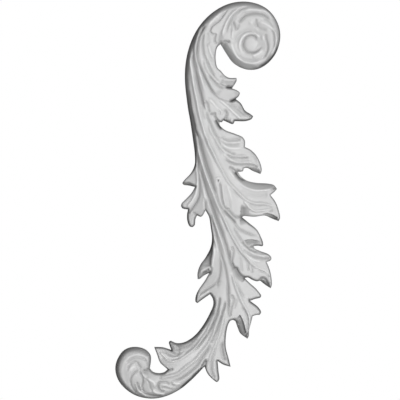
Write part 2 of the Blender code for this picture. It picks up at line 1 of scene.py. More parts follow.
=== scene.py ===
"""Looks of the scroll onlay: the fully carved casting, its white primer, camera and light.

The carving is drawn on squared paper, columns to the right and rows downward, and takes
its real size from the frame. A rounded body comes first, then cuts, ridges, steps and
pockets along lines, and last the rounding of the edges, as a carver works.
"""
import math
from collections import namedtuple

import bpy
import numpy as np
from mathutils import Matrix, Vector
from mathutils.geometry import delaunay_2d_cdt
from mathutils.kdtree import KDTree


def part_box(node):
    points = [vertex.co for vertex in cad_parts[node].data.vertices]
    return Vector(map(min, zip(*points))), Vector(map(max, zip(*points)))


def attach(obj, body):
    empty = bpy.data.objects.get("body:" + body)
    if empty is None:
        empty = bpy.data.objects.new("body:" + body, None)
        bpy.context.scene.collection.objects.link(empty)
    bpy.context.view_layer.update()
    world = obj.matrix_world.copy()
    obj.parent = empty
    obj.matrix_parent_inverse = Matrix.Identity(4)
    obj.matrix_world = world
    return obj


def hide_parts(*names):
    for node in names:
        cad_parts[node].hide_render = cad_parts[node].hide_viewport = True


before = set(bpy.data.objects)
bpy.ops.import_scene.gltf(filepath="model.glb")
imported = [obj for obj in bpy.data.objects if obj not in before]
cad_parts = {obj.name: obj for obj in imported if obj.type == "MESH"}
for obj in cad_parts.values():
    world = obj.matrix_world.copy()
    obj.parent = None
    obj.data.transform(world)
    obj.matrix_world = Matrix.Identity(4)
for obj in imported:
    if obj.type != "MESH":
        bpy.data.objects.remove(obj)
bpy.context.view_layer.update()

NODE = "scroll_onlay"
LOW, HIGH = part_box(NODE)

# The pattern, in squares
FIRST_ROW = 1.6
LAST_ROW = 398.4
SQUARE = (HIGH.z - LOW.z) / (LAST_ROW - FIRST_ROW)
MOUNT_COLUMN = 212
MOUNT_ROW = 200
VOLUTE_CENTRE = (250, 43.5)
VOLUTE_REACH = 40
VOLUTE_RIM = 26
DISH_RADIUS = 23
EYE_RADIUS = 7.2

# Heights above the wall, the softness of the body and the unit of carving depth, in metres
STEM_RISE = 0.0180
NECK_RISE = 0.0155
SCROLL_RISE = 0.0200
VOLUTE_RISE = 0.0185
LEAF_RISE = 0.0118
LEAF_SPREAD = 0.0156
DISH_DEPTH = 0.0025
EYE_RISE = 0.0012
BLEND_RISE = 0.0020
CUT_DEPTH = 0.0015

# The form of a carved line: roundings in squares, the rest as shares of its width
STEP_SOFTNESS = 0.5
CREST_ROUNDING = 0.6
BOTTOM_ROUNDING = 0.4
MARK_OFFSET = 0.2
SHADED_WIDER = 0.3
LIT_NARROWER = 0.1
FADED_WIDTH = 0.5
FARTHEST = 2.0

# Painted highlight and painted shade: reaches in squares, limits, and depths that bring it in full
CREST_LINE = 1.0
CUT_LINE = 1.0
RIM_LINE = 1.3
DARKEST = 1.8
POCKET_DARKEST = 1.35
FULL_RIDGE = 0.6
FULL_CUT = 1.5
FULL_POCKET = 3.2
FULL_STEP = 2.0

# How steeply a pocket's painted shade fades: the first 3/8 of its width is in full shade
POCKET_FADE = 1.6

# The mesh: distances in squares, clearances as shares of the point spacing
POINT_SPACING = 0.66
CURVE_STEP = 1.0
STEM_STEP = 2.0
EDGE_STEP = 0.5
BLEND_REACH = 2.5
LEAST_OFFSET = 0.25
ROW_SHARES = (0.08, 0.22, 0.42, 0.68, 1.0)
TRUE_OFFSET = 0.93
CLEARANCE = 0.7
EDGE_CLEARANCE = 0.4
ROW_CLEARANCE = 0.45
WELD = 1e-5
SMOOTH_JOINT = math.radians(38)
SHARP_EDGE = math.radians(60)

# How many places and how many steps of the edge are worked out at a time
CHUNK = 4000
BLOCK = 60

# Kinds of edge: rounding width in squares, upright in metres, roundness (1 is flat), painted rim
# shade
BACK = (5.2, 0.0040, 1.9, 0.3)
DEEP_BACK = (6.2, 0.0040, 1.8, 0.6)
NECK = (3.3, 0.0040, 1.9, 0.5)
CROWN = (6.5, 0.0060, 1.8, 0.3)
CHEEK = (3.4, 0.0060, 2.0, 0.9)
BAND = (6.0, 0.0090, 1.2, 0.2)
SOLE = (5.5, 0.0050, 2.2, 1.1)
KEEL = (4.0, 0.0050, 2.0, 1.8)
KEEN = (2.4, 0.0040, 1.8, 1.3)
SOFT = (5.0, 0.0085, 2.2, 0.0)
SLIGHT = (2.2, 0.0108, 2.0, 0.0)
CRISP = (1.6, 0.0055, 1.9, 0.2)
TURNED = (7.0, 0.0045, 1.35, 0.3)
TIP = (4.0, 0.0045, 1.2, 0.7)
LIP = (1.8, 0.0120, 1.5, 0.3)
INNER = (2.4, 0.0045, 2.0, 1.3)


# The runs of the edge, each from the end of the last: first the volute, arch and stem's back
HEAD_EDGES = [
    (BAND, [(226, 53), (233, 62.5), (242, 68), (250.5, 69.8)]),
    (SOLE, [(259, 68.5), (268, 63), (276, 53)]),
    (CHEEK, [(280, 40), (279.5, 29), (275, 18), (267, 9)]),
    (CROWN, [(256, 3.5), (243, 1.6), (229, 3.8), (215, 10.8)]),
    (BACK, [(203, 21.5), (194, 35), (188, 51), (185.2, 67), (185, 83), (186.8, 100), (188.2, 110)]),
    (DEEP_BACK, [(190, 120), (192.7, 138)]),
    (INNER, [(194.8, 155), (194.6, 165)]),
    (SLIGHT, [(191, 173), (184.5, 180), (182.3, 183)]),
]

# The three lobes of the first left leaf, the stem, and the two teeth of the second
LEFT_LEAF_EDGES = [
    (TIP, [(183.5, 184.7), (189, 185.6)]),
    (KEEN, [(195, 187)]),
    (SLIGHT, [(191.5, 193), (186, 199), (181.6, 203.5), (181, 206.2)]),
    (KEEN, [(182.5, 208.4), (188, 209.5)]),
    (INNER, [(187, 215), (187.6, 222), (189.8, 226.4), (192.5, 227), (194.6, 225.3), (195.5, 219),
          (197, 215.4)]),
    (CRISP, [(201, 216.8), (203, 215), (205.5, 210.3)]),
    (CRISP, [(209, 217), (210.8, 228)]),
    (INNER, [(212, 238), (210.6, 247.5)]),
    (SOFT, [(205.5, 257.5), (200, 265.5), (197.6, 273), (197.6, 279)]),
    (TIP, [(199.5, 279), (204, 275.5), (209.3, 272.8)]),
    (SLIGHT, [(205, 280.5), (198.5, 290)]),
    (INNER, [(195.8, 296), (195.6, 301.8), (197.5, 303.1)]),
    (KEEN, [(203, 299), (210, 294.2)]),
    (NECK, [(212.8, 299), (213.2, 305), (209.5, 314), (203, 325.5), (194.5, 335.8), (185, 342),
          (177, 343.2), (170.5, 340.7)]),
]

# The teeth above the small scroll, the scroll, and the underside of the stem
FOOT_EDGES = [
    (INNER, [(168.9, 342.2), (169.8, 346), (171.3, 350)]),
    (CRISP, [(163, 347.4), (154.3, 347)]),
    (SLIGHT, [(157, 354), (160, 362), (164, 366), (167.8, 369.3)]),
    (LIP, [(164, 372.3), (158.5, 373.2), (153, 371.8), (149.8, 368.5)]),
    (CHEEK, [(150.9, 361), (150.6, 355.5)]),
    (BACK, [(146.5, 350.3), (140, 347.5), (131, 347.3), (123.5, 350.6), (117.5, 359), (115.3, 368),
          (117.5, 378.5), (124, 387.5)]),
    (SOLE, [(134, 394.6), (145, 398), (156, 398.4), (168, 395.4), (181, 388.6)]),
    (KEEL, [(193, 378.4), (204.5, 366.5)]),
    (CRISP, [(207.5, 373.5), (212.5, 379)]),
    (KEEN, [(217, 382), (219.2, 379.5), (218.5, 371), (217.6, 361)]),
    (KEEN, [(223, 364.5), (230.6, 366.8)]),
    (INNER, [(228.5, 358), (225.9, 348), (225.8, 337), (227.8, 325.5), (230, 320.9)]),
]

# The fifth and fourth right leaves, from the bottom up
LOWER_LEAF_EDGES = [
    (INNER, [(233, 319.9), (235.4, 321.2)]),
    (TURNED, [(237.8, 328), (240.2, 333.2), (247.3, 338.7)]),
    (CRISP, [(248.8, 336), (249.1, 330), (251.2, 322), (252.6, 316.2)]),
    (CRISP, [(256, 315), (259.6, 314.8)]),
    (KEEN, [(261.1, 312.3), (258.5, 307.5), (250, 300.8)]),
    (KEEN, [(255, 299), (260.6, 297.3), (261.2, 295)]),
    (CRISP, [(256, 288.6), (250, 283.3), (244.5, 278)]),
    (KEEN, [(248, 277.5), (252, 279.8), (257, 281.3), (260, 280.6)]),
    (TIP, [(265, 284.6), (270.6, 288.2)]),
    (CRISP, [(271.8, 285), (271, 275), (269, 267.5), (266.6, 262)]),
    (CRISP, [(270.7, 260.2), (271.3, 257.5), (268.3, 254.2)]),
    (SOFT, [(260, 251), (254.6, 248.4), (253.6, 246)]),
    (KEEN, [(258, 245.7), (262.6, 246), (263.1, 243.3)]),
    (CRISP, [(260.5, 236), (256.5, 229.2)]),
    (KEEN, [(249, 223), (242, 217.2)]),
]

# The third, second and first right leaves, up to the inside of the arch
UPPER_LEAF_EDGES = [
    (SOFT, [(243.5, 216.1), (254, 216.8), (265, 215.6)]),
    (TIP, [(272, 218.6), (278.6, 221.1)]),
    (CRISP, [(280, 218), (278.7, 210.5), (275.5, 202), (270.4, 195)]),
    (CRISP, [(274, 192.2), (277, 189)]),
    (TURNED, [(274, 185.2), (268, 183.6), (256, 182.8), (247, 180.7), (240.5, 176),
          (237.8, 171.8)]),
    (CRISP, [(242.8, 171.2), (244, 168.4), (247, 167.9)]),
    (TIP, [(253, 171), (260.5, 174)]),
    (CRISP, [(261.7, 170), (260, 162.5), (255.5, 154.5), (250, 149.5), (244.9, 147)]),
    (CRISP, [(244.8, 140.6), (242.5, 137.2), (235, 133.8), (225, 130), (219.5, 124.6),
          (219.6, 121.8)]),
    (CRISP, [(221.4, 122.2), (223.5, 120.3)]),
    (KEEN, [(228, 122.4), (233, 124), (234.8, 121.1)]),
    (KEEN, [(246, 121), (251.5, 119), (253.2, 116.2)]),
    (KEEN, [(250, 113.8), (245, 110.4), (241, 103.5), (235.7, 99)]),
    (CRISP, [(238.8, 96), (239.8, 93), (237.5, 90.7), (232, 88.4)]),
    (CRISP, [(236.6, 80.7), (236.5, 78)]),
    (CRISP, [(229, 77.8), (224.6, 75.3)]),
    (CRISP, [(221, 71), (217.6, 68), (215.8, 61), (216, 52), (217.5, 47), (220.5, 44)]),
]


# The front of the stem from the arch to the small scroll: column, row, rise
STEM_LINE = [
    (262, 12, VOLUTE_RISE), (234, 12, VOLUTE_RISE), (209, 29, STEM_RISE), (198.5, 58, STEM_RISE),
    (200, 95, STEM_RISE), (206, 135, STEM_RISE), (212, 175, STEM_RISE), (219, 215, STEM_RISE),
    (223, 255, STEM_RISE), (224.5, 275, NECK_RISE), (219.5, 305, NECK_RISE),
    (207.5, 334, NECK_RISE), (187, 359.5, STEM_RISE), (160, 379, SCROLL_RISE),
    (133, 375, SCROLL_RISE), (128, 366, SCROLL_RISE), (134, 358, SCROLL_RISE),
    (143, 362, SCROLL_RISE),
]


Cut = namedtuple("Cut", "kind depth width fade_in fade_out points")


def groove(depth, width, fade_in, fade_out, *points):
    """A cut with rounded sides: depth in units of CUT_DEPTH, the rest in squares."""
    return Cut("groove", -depth, width, fade_in, fade_out, points)


def ridge(depth, width, fade_in, fade_out, *points):
    """A raised line."""
    return Cut("ridge", depth, width, fade_in, fade_out, points)


def step(depth, width, fade_in, fade_out, *points):
    """One side stands over the other: the right side of the line for a positive depth."""
    return Cut("step", depth, width, fade_in, fade_out, points)


def pocket(depth, width, fade_in, fade_out, *points):
    """The form drops on one side of the line, its right for a positive depth, and climbs back."""
    return Cut("pocket", depth, width, fade_in, fade_out, points)


# The edge of the leaf that lies inside the arch, then the cuts of arch and volute
VOLUTE_LEAF_EDGE = [(228.4, 9.7), (226.4, 12.1), (224, 15.3), (219.3, 21.5), (215.8, 24.3),
                    (212.2, 27.3), (210.8, 30), (210.7, 32.6), (212.8, 34.4), (215.8, 34.8),
                    (215.3, 37.6), (215, 41.2), (216.2, 43.3)]
VOLUTE_CUTS = [
    step(-1.0, 3, 6, 0, *VOLUTE_LEAF_EDGE),
    groove(0.6, 1.5, 6, 0, *VOLUTE_LEAF_EDGE),
    ridge(0.5, 3, 8, 8, (226, 8.6), (221, 13), (215, 19), (209.5, 25.5), (207, 31)),
    groove(0.7, 1.8, 8, 6, (250.5, 7.4), (245.2, 8.2), (240.5, 10.3), (236.9, 12.9), (233.7, 15.6),
          (231.6, 18.8), (229.9, 22.4), (228.4, 25.9), (227.2, 29.4), (226.4, 34)),
    ridge(0.8, 2, 6, 6, (239, 9.6), (234.6, 12.4), (231.6, 15.3), (228.7, 19.4), (226.4, 24.1),
          (224.6, 28.2), (223.1, 32.9), (222.4, 38)),
    groove(0.35, 1.6, 3, 3, (231.2, 22), (231, 26), (230.8, 31), (231, 36), (231.2, 40)),
    ridge(0.5, 1.6, 3, 2, (233.4, 30), (232.4, 35), (231.9, 40)),
    groove(0.8, 1.7, 2, 1, (232.5, 21), (234.3, 25.3), (235.8, 28.8), (236.5, 31)),
    groove(0.5, 1.7, 2, 1, (239.3, 24.2), (238, 27.6), (236.4, 30.8)),
    groove(1.15, 3, 4, 6, (239.4, 25), (240.6, 21), (242.7, 18.6), (245.8, 16.1), (249.8, 14.7),
          (254.5, 14.1), (259.2, 14.4), (263.9, 15.6), (268, 18.2), (271, 21)),
    groove(0.4, 1.7, 4, 4, (247, 12.2), (243.4, 14.1), (240, 17), (238, 20)),
    ridge(0.4, 3, 5, 5, (264, 12), (257, 10.6), (250, 10.4), (243.5, 11.7)),
    ridge(0.25, 4, 3, 3, (248, 21), (251, 22.6), (253, 25.6)),
    groove(0.45, 3, 5, 5, (236, 45), (236.2, 41), (238.7, 35.9), (242.8, 32.9), (247.5, 31.5),
          (253.4, 31.8), (258, 34), (260.5, 38)),
    groove(1.05, 2.0, 5, 14, (256.8, 42), (256.4, 39.4), (255, 37.2), (252.8, 36.3), (250.2, 36),
          (246.8, 37.5), (244.6, 40), (243.5, 43), (243.6, 46.5), (245.3, 50), (248.2, 52.1),
          (251.6, 52.7), (255.1, 52.2), (258.6, 50.2), (261.5, 47.2), (263, 43.5)),
    groove(2.0, 1.6, 5, 6, (278, 45), (276, 50.6), (272.8, 56.4), (268.6, 61), (263.4, 65),
          (257, 67.6)),
    ridge(0.9, 3, 5, 8, (260, 38.5), (257.8, 36), (254.6, 34.2), (250.8, 33.9), (246.4, 35),
          (242.8, 38), (240.8, 42.4), (240.3, 47), (241.6, 51), (244.6, 54.4)),
    ridge(0.6, 4, 3, 4, (251, 56.4), (256, 55.4), (260, 53), (263, 49)),
    ridge(0.6, 3, 2, 3, (262.8, 35), (263.6, 38), (264, 42)),
    groove(0.6, 1.8, 1, 2, (256.6, 19.3), (256, 22), (256, 25), (257.4, 28)),
    groove(0.7, 3.4, 3, 5, (257, 22), (257.4, 26), (260.2, 28.8), (263.5, 30), (268, 30.8)),
    ridge(0.3, 2.5, 2, 3, (259, 22.6), (263, 23.4), (267, 25.4), (271, 28.4), (273.4, 31.4)),
    groove(0.3, 1.8, 3, 3, (262, 19.4), (267, 20.6), (271, 23.6), (274.6, 28.6)),
    groove(0.8, 1.6, 1, 5, (265.3, 34), (265.7, 38.2), (266.9, 42.4), (267.6, 46.5), (267.4, 50),
          (266.2, 53.5), (264.6, 57), (261.5, 60)),
    groove(0.6, 1.7, 5, 2, (268, 28.2), (270.4, 30), (272.7, 32.9), (273.5, 36.5), (273.7, 41.2),
          (273.6, 45.9), (272.7, 50.6), (270.9, 54.7), (268.4, 58.4), (265.6, 60.8)),
    ridge(0.7, 1.9, 5, 5, (273, 29.6), (275.4, 34), (276.1, 39), (275.9, 44), (275, 49),
          (273.2, 53.5), (270.7, 57.6)),
    ridge(0.5, 2.5, 3, 5, (231.6, 42), (233, 48), (236.6, 55.5), (242.5, 61.4), (250, 63.9),
          (257, 63), (263, 60)),
    groove(0.3, 3, 4, 4, (238, 52), (243, 57.2), (250, 59.3), (258, 58.6)),
    groove(1.3, 2, 1, 2, (222.6, 42.6), (225, 41.8), (228, 42), (230.6, 42.2)),
]

# The long flutes down the upper stem
FLUTE_CUTS = [
    groove(1.4, 1.9, 6, 20, (206.9, 25.3), (204, 28.4), (201.6, 32.4), (199.6, 37.6), (198.1, 42.9),
          (197.4, 48.8), (197.2, 54.1), (197.8, 58.8), (199.3, 64.1), (201.7, 70), (204, 75),
          (206.6, 80.6), (210, 87), (213.6, 92.6), (217.2, 96.1), (220.7, 99.1), (224.2, 101.4),
          (227.2, 102.6)),
    groove(0.7, 1.7, 3, 8, (204.9, 24.4), (202.2, 28.4), (200, 33), (198.6, 37.6)),
    groove(4.2, 2.2, 4, 0, (228, 102), (231.5, 101.2), (235.5, 99.6)),
    pocket(-0.8, 16, 5, 4, (214, 93.4), (220, 98.6), (227, 101.8), (233, 100.6), (241, 97)),
    ridge(1.3, 2.3, 8, 15, (200.6, 31.6), (198, 37), (196.4, 43), (195.5, 48.8), (195.7, 54.1),
          (196.6, 59), (198.2, 65), (200.4, 71.6), (203.2, 78.5)),
    groove(1.2, 1.9, 9, 8, (193.4, 50), (193.1, 57.6), (193.7, 62.4), (195, 68.6), (196.6, 74.9),
          (197.8, 80.8), (199.2, 86.7), (200.7, 92.6), (201.9, 97.3), (203.1, 102.6),
          (204.5, 107.3), (206.3, 112)),
    groove(1.3, 4.8, 10, 8, (195.6, 68), (197.4, 78), (199.4, 87), (201.3, 94), (203, 101),
          (205, 109)),
    groove(0.7, 1.7, 3, 6, (206.3, 111.4), (208.4, 118.5), (210.7, 123.6), (213.6, 129.6),
          (216, 134.4), (219, 138), (223, 141.8)),
    ridge(0.9, 2.2, 8, 12, (197.2, 65.5), (198.6, 70), (200.7, 76.4), (202.5, 82), (204.4, 88),
          (206.6, 94)),
    ridge(1.0, 2.6, 4, 10, (191, 56), (190.6, 63), (191.6, 69), (192.6, 76), (193.8, 84),
          (195.6, 93)),
    ridge(1.0, 2.4, 12, 20, (193, 82), (194.8, 90.2), (196.9, 99.6), (198.2, 106.7), (199.8, 114.9),
          (201.9, 122.6), (204.4, 131.4), (206.7, 138.5), (209.1, 144.9)),
    groove(0.8, 1.8, 5, 6, (204.8, 32.6), (203.2, 37.6), (202.7, 43.5), (203.1, 48.8),
          (204.3, 54.7), (206.4, 59.4), (208.6, 64), (211.6, 70), (214, 74.6), (217, 78.6)),
    groove(0.8, 1.8, 6, 4, (207.5, 73.8), (210, 77), (212.6, 80), (215.4, 82.8), (218.4, 85.4),
          (221.9, 87.9), (226, 88.5)),
    groove(4.2, 2.2, 4, 0, (224, 87.2), (228.4, 87.6), (232.6, 87.9)),
    ridge(1.1, 2.4, 8, 6, (204.6, 58), (206.4, 66), (208.6, 71), (211.3, 74.9), (214.2, 78.5),
          (217.2, 81.4), (220.4, 84.3)),
    groove(0.5, 4, 3, 3, (208.4, 32), (208.8, 38), (210.4, 45)),
    groove(0.5, 1.8, 4, 6, (207.8, 41.2), (207.5, 46.5), (208.7, 51.8), (210.5, 55.9), (212.8, 60),
          (215.2, 64)),
    ridge(0.8, 3, 4, 4, (209.2, 43.6), (209.3, 47.3), (210.6, 51.8), (212.4, 56), (214.2, 60)),
    ridge(0.4, 1.8, 4, 4, (205.6, 52), (208, 58.6), (211, 64.2), (214, 69)),
    groove(0.5, 1.5, 1, 2, (219.6, 76), (222, 76.6), (224.6, 76.4)),
    ridge(0.5, 1.6, 2, 1, (222.6, 79.8), (228, 80.3), (235, 80.2)),
    pocket(-1.6, 13, 3, 3, (219, 84), (224, 86.4), (228.5, 87.2), (233, 87), (239, 85)),
]

# The first right leaf, with the edge of its small lobe
FIRST_LEAF_LOBE = [(210.2, 113), (212, 113.9), (215.1, 113.4), (215.4, 116.1), (217.2, 119.1),
                   (219, 121.6)]
FIRST_RIGHT_LEAF_CUTS = [
    groove(0.8, 1.6, 1, 2, (205, 100.6), (208.1, 104.4), (208.9, 108.5), (210.4, 113)),
    ridge(0.6, 1.6, 2, 2, (204.4, 103), (205.8, 107), (207.6, 111)),
    groove(0.35, 1.7, 3, 5, (201, 104.4), (201.6, 109.1), (203.1, 114.9), (205, 121)),
    groove(1.0, 1.6, 1, 0, *FIRST_LEAF_LOBE, (221.3, 122)),
    step(-0.7, 2.5, 1, 0, *FIRST_LEAF_LOBE),
    groove(3.2, 2.8, 2, 0, (215.8, 119.2), (217.4, 122), (219.2, 125.4), (221, 127.6)),
    ridge(0.7, 1.8, 4, 2, (208, 98), (211.3, 100.8), (214.8, 104.4), (217.8, 107.9), (220.7, 110.8),
          (222.6, 115)),
    groove(0.4, 1.6, 3, 1, (213.6, 102), (216.2, 105.5), (218.9, 110.4), (221, 115)),
    groove(0.9, 1.7, 3, 0, (223.1, 109.1), (225.8, 111.2), (227, 113.4), (226.7, 116),
          (225.4, 118.3), (224.4, 120.4)),
    groove(0.8, 3, 1, 1, (225.6, 117), (227, 119.4), (230.6, 121)),
    ridge(0.8, 2.2, 5, 3, (218, 98.4), (224.2, 103.4), (229.5, 107.9), (234.2, 112.6),
          (238.9, 116.9), (241.6, 119.6)),
    groove(0.7, 3, 4, 5, (227.2, 103.2), (233.1, 105.7), (237.8, 108.5), (242, 112.2),
          (246.4, 116)),
    groove(0.8, 6, 4, 1, (238, 105), (243.4, 110.6), (251, 116.4)),
]

# The second right leaf, with the edge of its small lobe
SECOND_LEAF_LOBE = [(228.6, 167), (231.6, 167.6), (234, 169.6), (236.2, 171.4)]
SECOND_RIGHT_LEAF_CUTS = [
    groove(0.5, 1.7, 4, 5, (219.6, 139), (224.6, 142.8), (229.6, 144.5), (234.9, 144.8),
          (241, 144)),
    groove(0.75, 2.8, 4, 2, (220.2, 136.6), (224.9, 139.2), (229.6, 140.5), (234.9, 139.6),
          (241, 139)),
    ridge(0.4, 1.5, 4, 3, (221, 139.4), (225.4, 141.6), (230.2, 142.7), (235.5, 142.7),
          (241.6, 142)),
    ridge(0.9, 1.9, 8, 6, (208.4, 123), (212, 133.2), (214.9, 137.9), (217.9, 143.2),
          (221.4, 148.5), (224.9, 151.4), (228.5, 153.8), (233.2, 155.8), (239.1, 156.4),
          (248, 155.8)),
    groove(0.55, 1.6, 5, 2, (217.4, 136.6), (219.8, 141), (222.6, 145.5), (224.9, 148.5),
          (228.5, 151), (233.2, 153.4), (236, 153.6)),
    ridge(0.5, 2.4, 4, 4, (220.6, 141.6), (224.9, 146.1), (229.6, 148), (235, 148.6), (242, 148)),
    groove(0.85, 1.5, 4, 3, (224.9, 153.2), (228.5, 155.5), (232, 157.3), (236.7, 157.7),
          (242, 158), (249, 157.5)),
    ridge(0.8, 1.7, 4, 4, (222.4, 153), (226.7, 156.4), (230.2, 159.3), (234.4, 161.4),
          (240.2, 162.6), (246.7, 162.1), (253, 162.4)),
    groove(0.85, 1.5, 5, 2, (224.4, 158.2), (229.6, 162), (234.4, 163.9), (240.2, 164.5),
          (246.7, 164.5), (253.8, 165.3), (257.8, 168)),
    ridge(0.5, 1.5, 3, 3, (240, 166), (246, 166), (252, 166.9)),
    groove(0.4, 1.6, 8, 5, (211.6, 136), (214.4, 140.6), (217.3, 146.1), (220.6, 151),
          (224.4, 155.4)),
    groove(0.3, 1.6, 8, 8, (203.2, 123.2), (206.1, 132), (209.6, 140), (212.6, 146), (215.5, 151.4),
          (219, 158)),
    groove(0.3, 1.6, 4, 4, (247, 150), (251, 153.6), (255, 159), (257.4, 164)),
    step(-0.9, 2.4, 1, 0, *SECOND_LEAF_LOBE, (240, 171.2)),
    groove(0.9, 1.8, 1, 0, *SECOND_LEAF_LOBE),
    groove(0.7, 2, 1, 1, (232, 170), (234, 172.6), (236, 175)),
    groove(4.4, 2.6, 1, 4, (235.4, 171.6), (236.8, 174), (238.8, 176.6), (241.8, 179), (246, 181)),
]

# The third right leaf
THIRD_RIGHT_LEAF_CUTS = [
    ridge(0.5, 2, 8, 3, (228, 168.6), (233, 175.4), (240, 182.4), (244.7, 186.3), (250, 188.9),
          (255.9, 190.4), (261.8, 190.2), (267.6, 189.4), (273, 187.8)),
    groove(0.35, 4.5, 8, 3, (236, 186), (243, 191.6), (251, 195), (260, 195.5), (268, 194.5)),
    ridge(0.8, 1.9, 3, 3, (243.6, 200.6), (245.9, 203.5), (249.4, 207.8), (253.5, 210.6),
          (258.8, 211.2), (264.7, 210.6), (271, 209.2)),
    groove(0.5, 1.5, 3, 3, (242.6, 201), (244.9, 204.4), (248.2, 208.4), (252.4, 211.9),
          (256.5, 212.6), (261.8, 212.3), (267.6, 211), (274, 210.4)),
    ridge(0.4, 1.5, 2, 2, (250.4, 213), (255.9, 214.2), (262.4, 213.9), (268, 212.8), (274, 213.6)),
    groove(0.4, 1.6, 4, 3, (247.6, 202.4), (252.9, 205.8), (258.8, 206), (264.7, 205.8),
          (273, 207.4)),
    pocket(2.6, 7, 3, 1, (262, 213.6), (267.6, 212.8), (273, 214.4), (277.6, 218)),
    pocket(-3.2, 9, 6, 0, (241, 203.6), (240.4, 207.2), (240.3, 211.5), (240.2, 216)),
    groove(0.9, 1.5, 5, 0.5, (219.6, 180.5), (220.9, 187.6), (221.5, 193.5), (222.3, 199.4),
          (223.4, 204), (225.4, 207.4), (227.6, 208.8), (229.6, 209)),
    ridge(0.5, 1.5, 5, 2, (222, 184), (223.2, 193), (224.2, 200), (226.2, 206)),
    groove(1.0, 2.2, 1, 1, (226.8, 210.4), (229.4, 210.6), (232.1, 213.5), (234.4, 216),
          (238, 216.9), (241.4, 216.7)),
    groove(0.35, 1.5, 5, 1, (225.6, 183), (227, 188), (229, 193), (230.1, 198.2), (231, 204.1),
          (231.4, 210)),
    ridge(0.45, 1.5, 5, 5, (226.8, 184), (229, 190), (230.8, 196), (231.8, 202)),
    groove(0.35, 1.5, 4, 4, (231.6, 188), (235.3, 192.6), (238.2, 196.1), (240.2, 199)),
    groove(1.4, 1.1, 0.4, 0.4, (217.3, 180.6), (219.2, 180.7)),
    ridge(0.6, 1.5, 1, 1, (216.4, 178.8), (218.6, 178.2), (220.6, 179)),
]

# The deep cuts and the long ridges that run down the middle of the stem
MAIN_VEIN_CUTS = [
    pocket(1.2, 8, 12, 8, (190, 88), (190.8, 98), (192, 107), (193.6, 116), (195.4, 125),
          (197.4, 134), (199, 141)),
    groove(1.5, 2.4, 12, 12, (196.6, 128), (198.5, 137.3), (200.2, 143.8), (202, 150.2),
          (203.8, 156.7), (205.5, 163.2), (207.6, 169.6), (210.2, 176.2), (212.6, 183),
          (214.8, 189), (216.4, 194), (217.8, 199)),
    groove(1.0, 4.8, 10, 12, (199, 133), (201.4, 143), (204.6, 154), (208, 165), (212, 176),
          (215.4, 186)),
    groove(0.8, 1.8, 6, 4, (215.8, 191), (217.6, 198.2), (219.4, 203.5), (221.8, 207.3),
          (224.7, 210.8)),
    groove(1.4, 1.8, 4, 4, (222.6, 208.4), (225.4, 211.6), (228.6, 215), (231.8, 218.2),
          (234.6, 221.8), (236.2, 225)),
    groove(0.7, 2, 3, 10, (235, 222.6), (237, 226), (239.9, 229.1), (243.5, 231), (247.6, 233.2),
          (251.7, 234.7), (255.8, 235.6), (257.8, 237.8)),
    ridge(1.1, 2.1, 10, 12, (197, 141), (198.5, 149.6), (200.8, 159.1), (203.2, 166.7),
          (205.5, 173.8), (207.6, 179.8), (210, 185.9), (212.4, 191.8), (214.2, 196.2),
          (216, 201.2), (217.8, 205.6), (220, 210.6), (222.9, 216), (225.4, 221.6), (227.4, 226),
          (229.6, 231.4), (231.6, 235.5), (234.2, 239.6), (236.7, 243.8), (238.8, 247.3),
          (240.6, 250.2), (243, 253.2), (246.4, 256.9), (249.6, 260.8), (253.2, 264.2),
          (257.4, 267.2), (262, 269.4)),
    ridge(1.1, 2.0, 12, 8, (205.2, 133), (207.4, 139.4), (209.4, 144.9), (211.7, 149.8),
          (214.2, 154.6), (216.9, 160.2), (219.8, 166.1), (222.7, 171.4), (225.6, 176.8),
          (229, 182.4), (233, 187.1), (237.6, 191.6), (241.3, 195.6), (245.4, 199.2), (250, 201.8),
          (255.9, 203.4), (261.8, 203.6), (267.6, 204.6), (274, 206.4)),
    groove(0.3, 1.7, 8, 8, (201, 129.6), (203.8, 137.6), (206.7, 145.2), (209.8, 152.4), (213, 159),
          (216.4, 166)),
    groove(1.3, 2.2, 8, 6, (199.4, 166), (200.9, 171.6), (203.5, 180), (205.6, 186.4),
          (207.6, 192.9), (209.7, 198.8), (211.8, 205.3), (213.8, 211.6), (216.7, 219.6),
          (219.1, 225.5), (221.2, 230.2), (223.5, 236.2), (225.4, 241.4), (227.3, 247.3),
          (228.6, 253.2), (229.8, 257.9), (231.1, 262.6), (232.4, 266.4), (234, 270)),
    groove(1.0, 3.6, 10, 10, (209, 196), (211.8, 203.6), (214.6, 211), (218.2, 221), (222.2, 231),
          (225.4, 240)),
    groove(0.9, 1.6, 16, 4, (210.6, 214), (211.6, 218.4), (213, 223.8), (215, 230.2),
          (216.8, 237.3), (218.8, 244.6), (220.8, 252.6), (222.6, 258.5), (224.4, 263.8),
          (225.8, 269.6), (227, 276.7), (227.9, 282.6), (228.3, 289), (228.4, 296), (228.3, 303),
          (228.8, 310.3), (230, 318)),
    groove(0.8, 2.8, 8, 8, (227.4, 280), (228, 287.9), (228.2, 294), (228.2, 301)),
    ridge(1.0, 2.0, 5, 8, (212, 212), (214.2, 220), (216.8, 227.6), (219.4, 235.4), (221.9, 242.4),
          (224.2, 249.6), (226.3, 257)),
    ridge(0.7, 1.6, 4, 5, (211, 226), (213.2, 234), (215.6, 241.6), (217.4, 248.6), (218.6, 254)),
    groove(0.5, 1.6, 8, 4, (219.6, 214), (222, 219), (224.2, 223.8), (226, 228), (228.2, 232.4),
          (230.4, 236.6), (232.6, 240.4), (234.6, 244.4), (236.8, 247.9), (239.3, 252),
          (242.4, 255.6), (245.3, 259.1), (248.2, 262.6), (250.6, 265)),
]

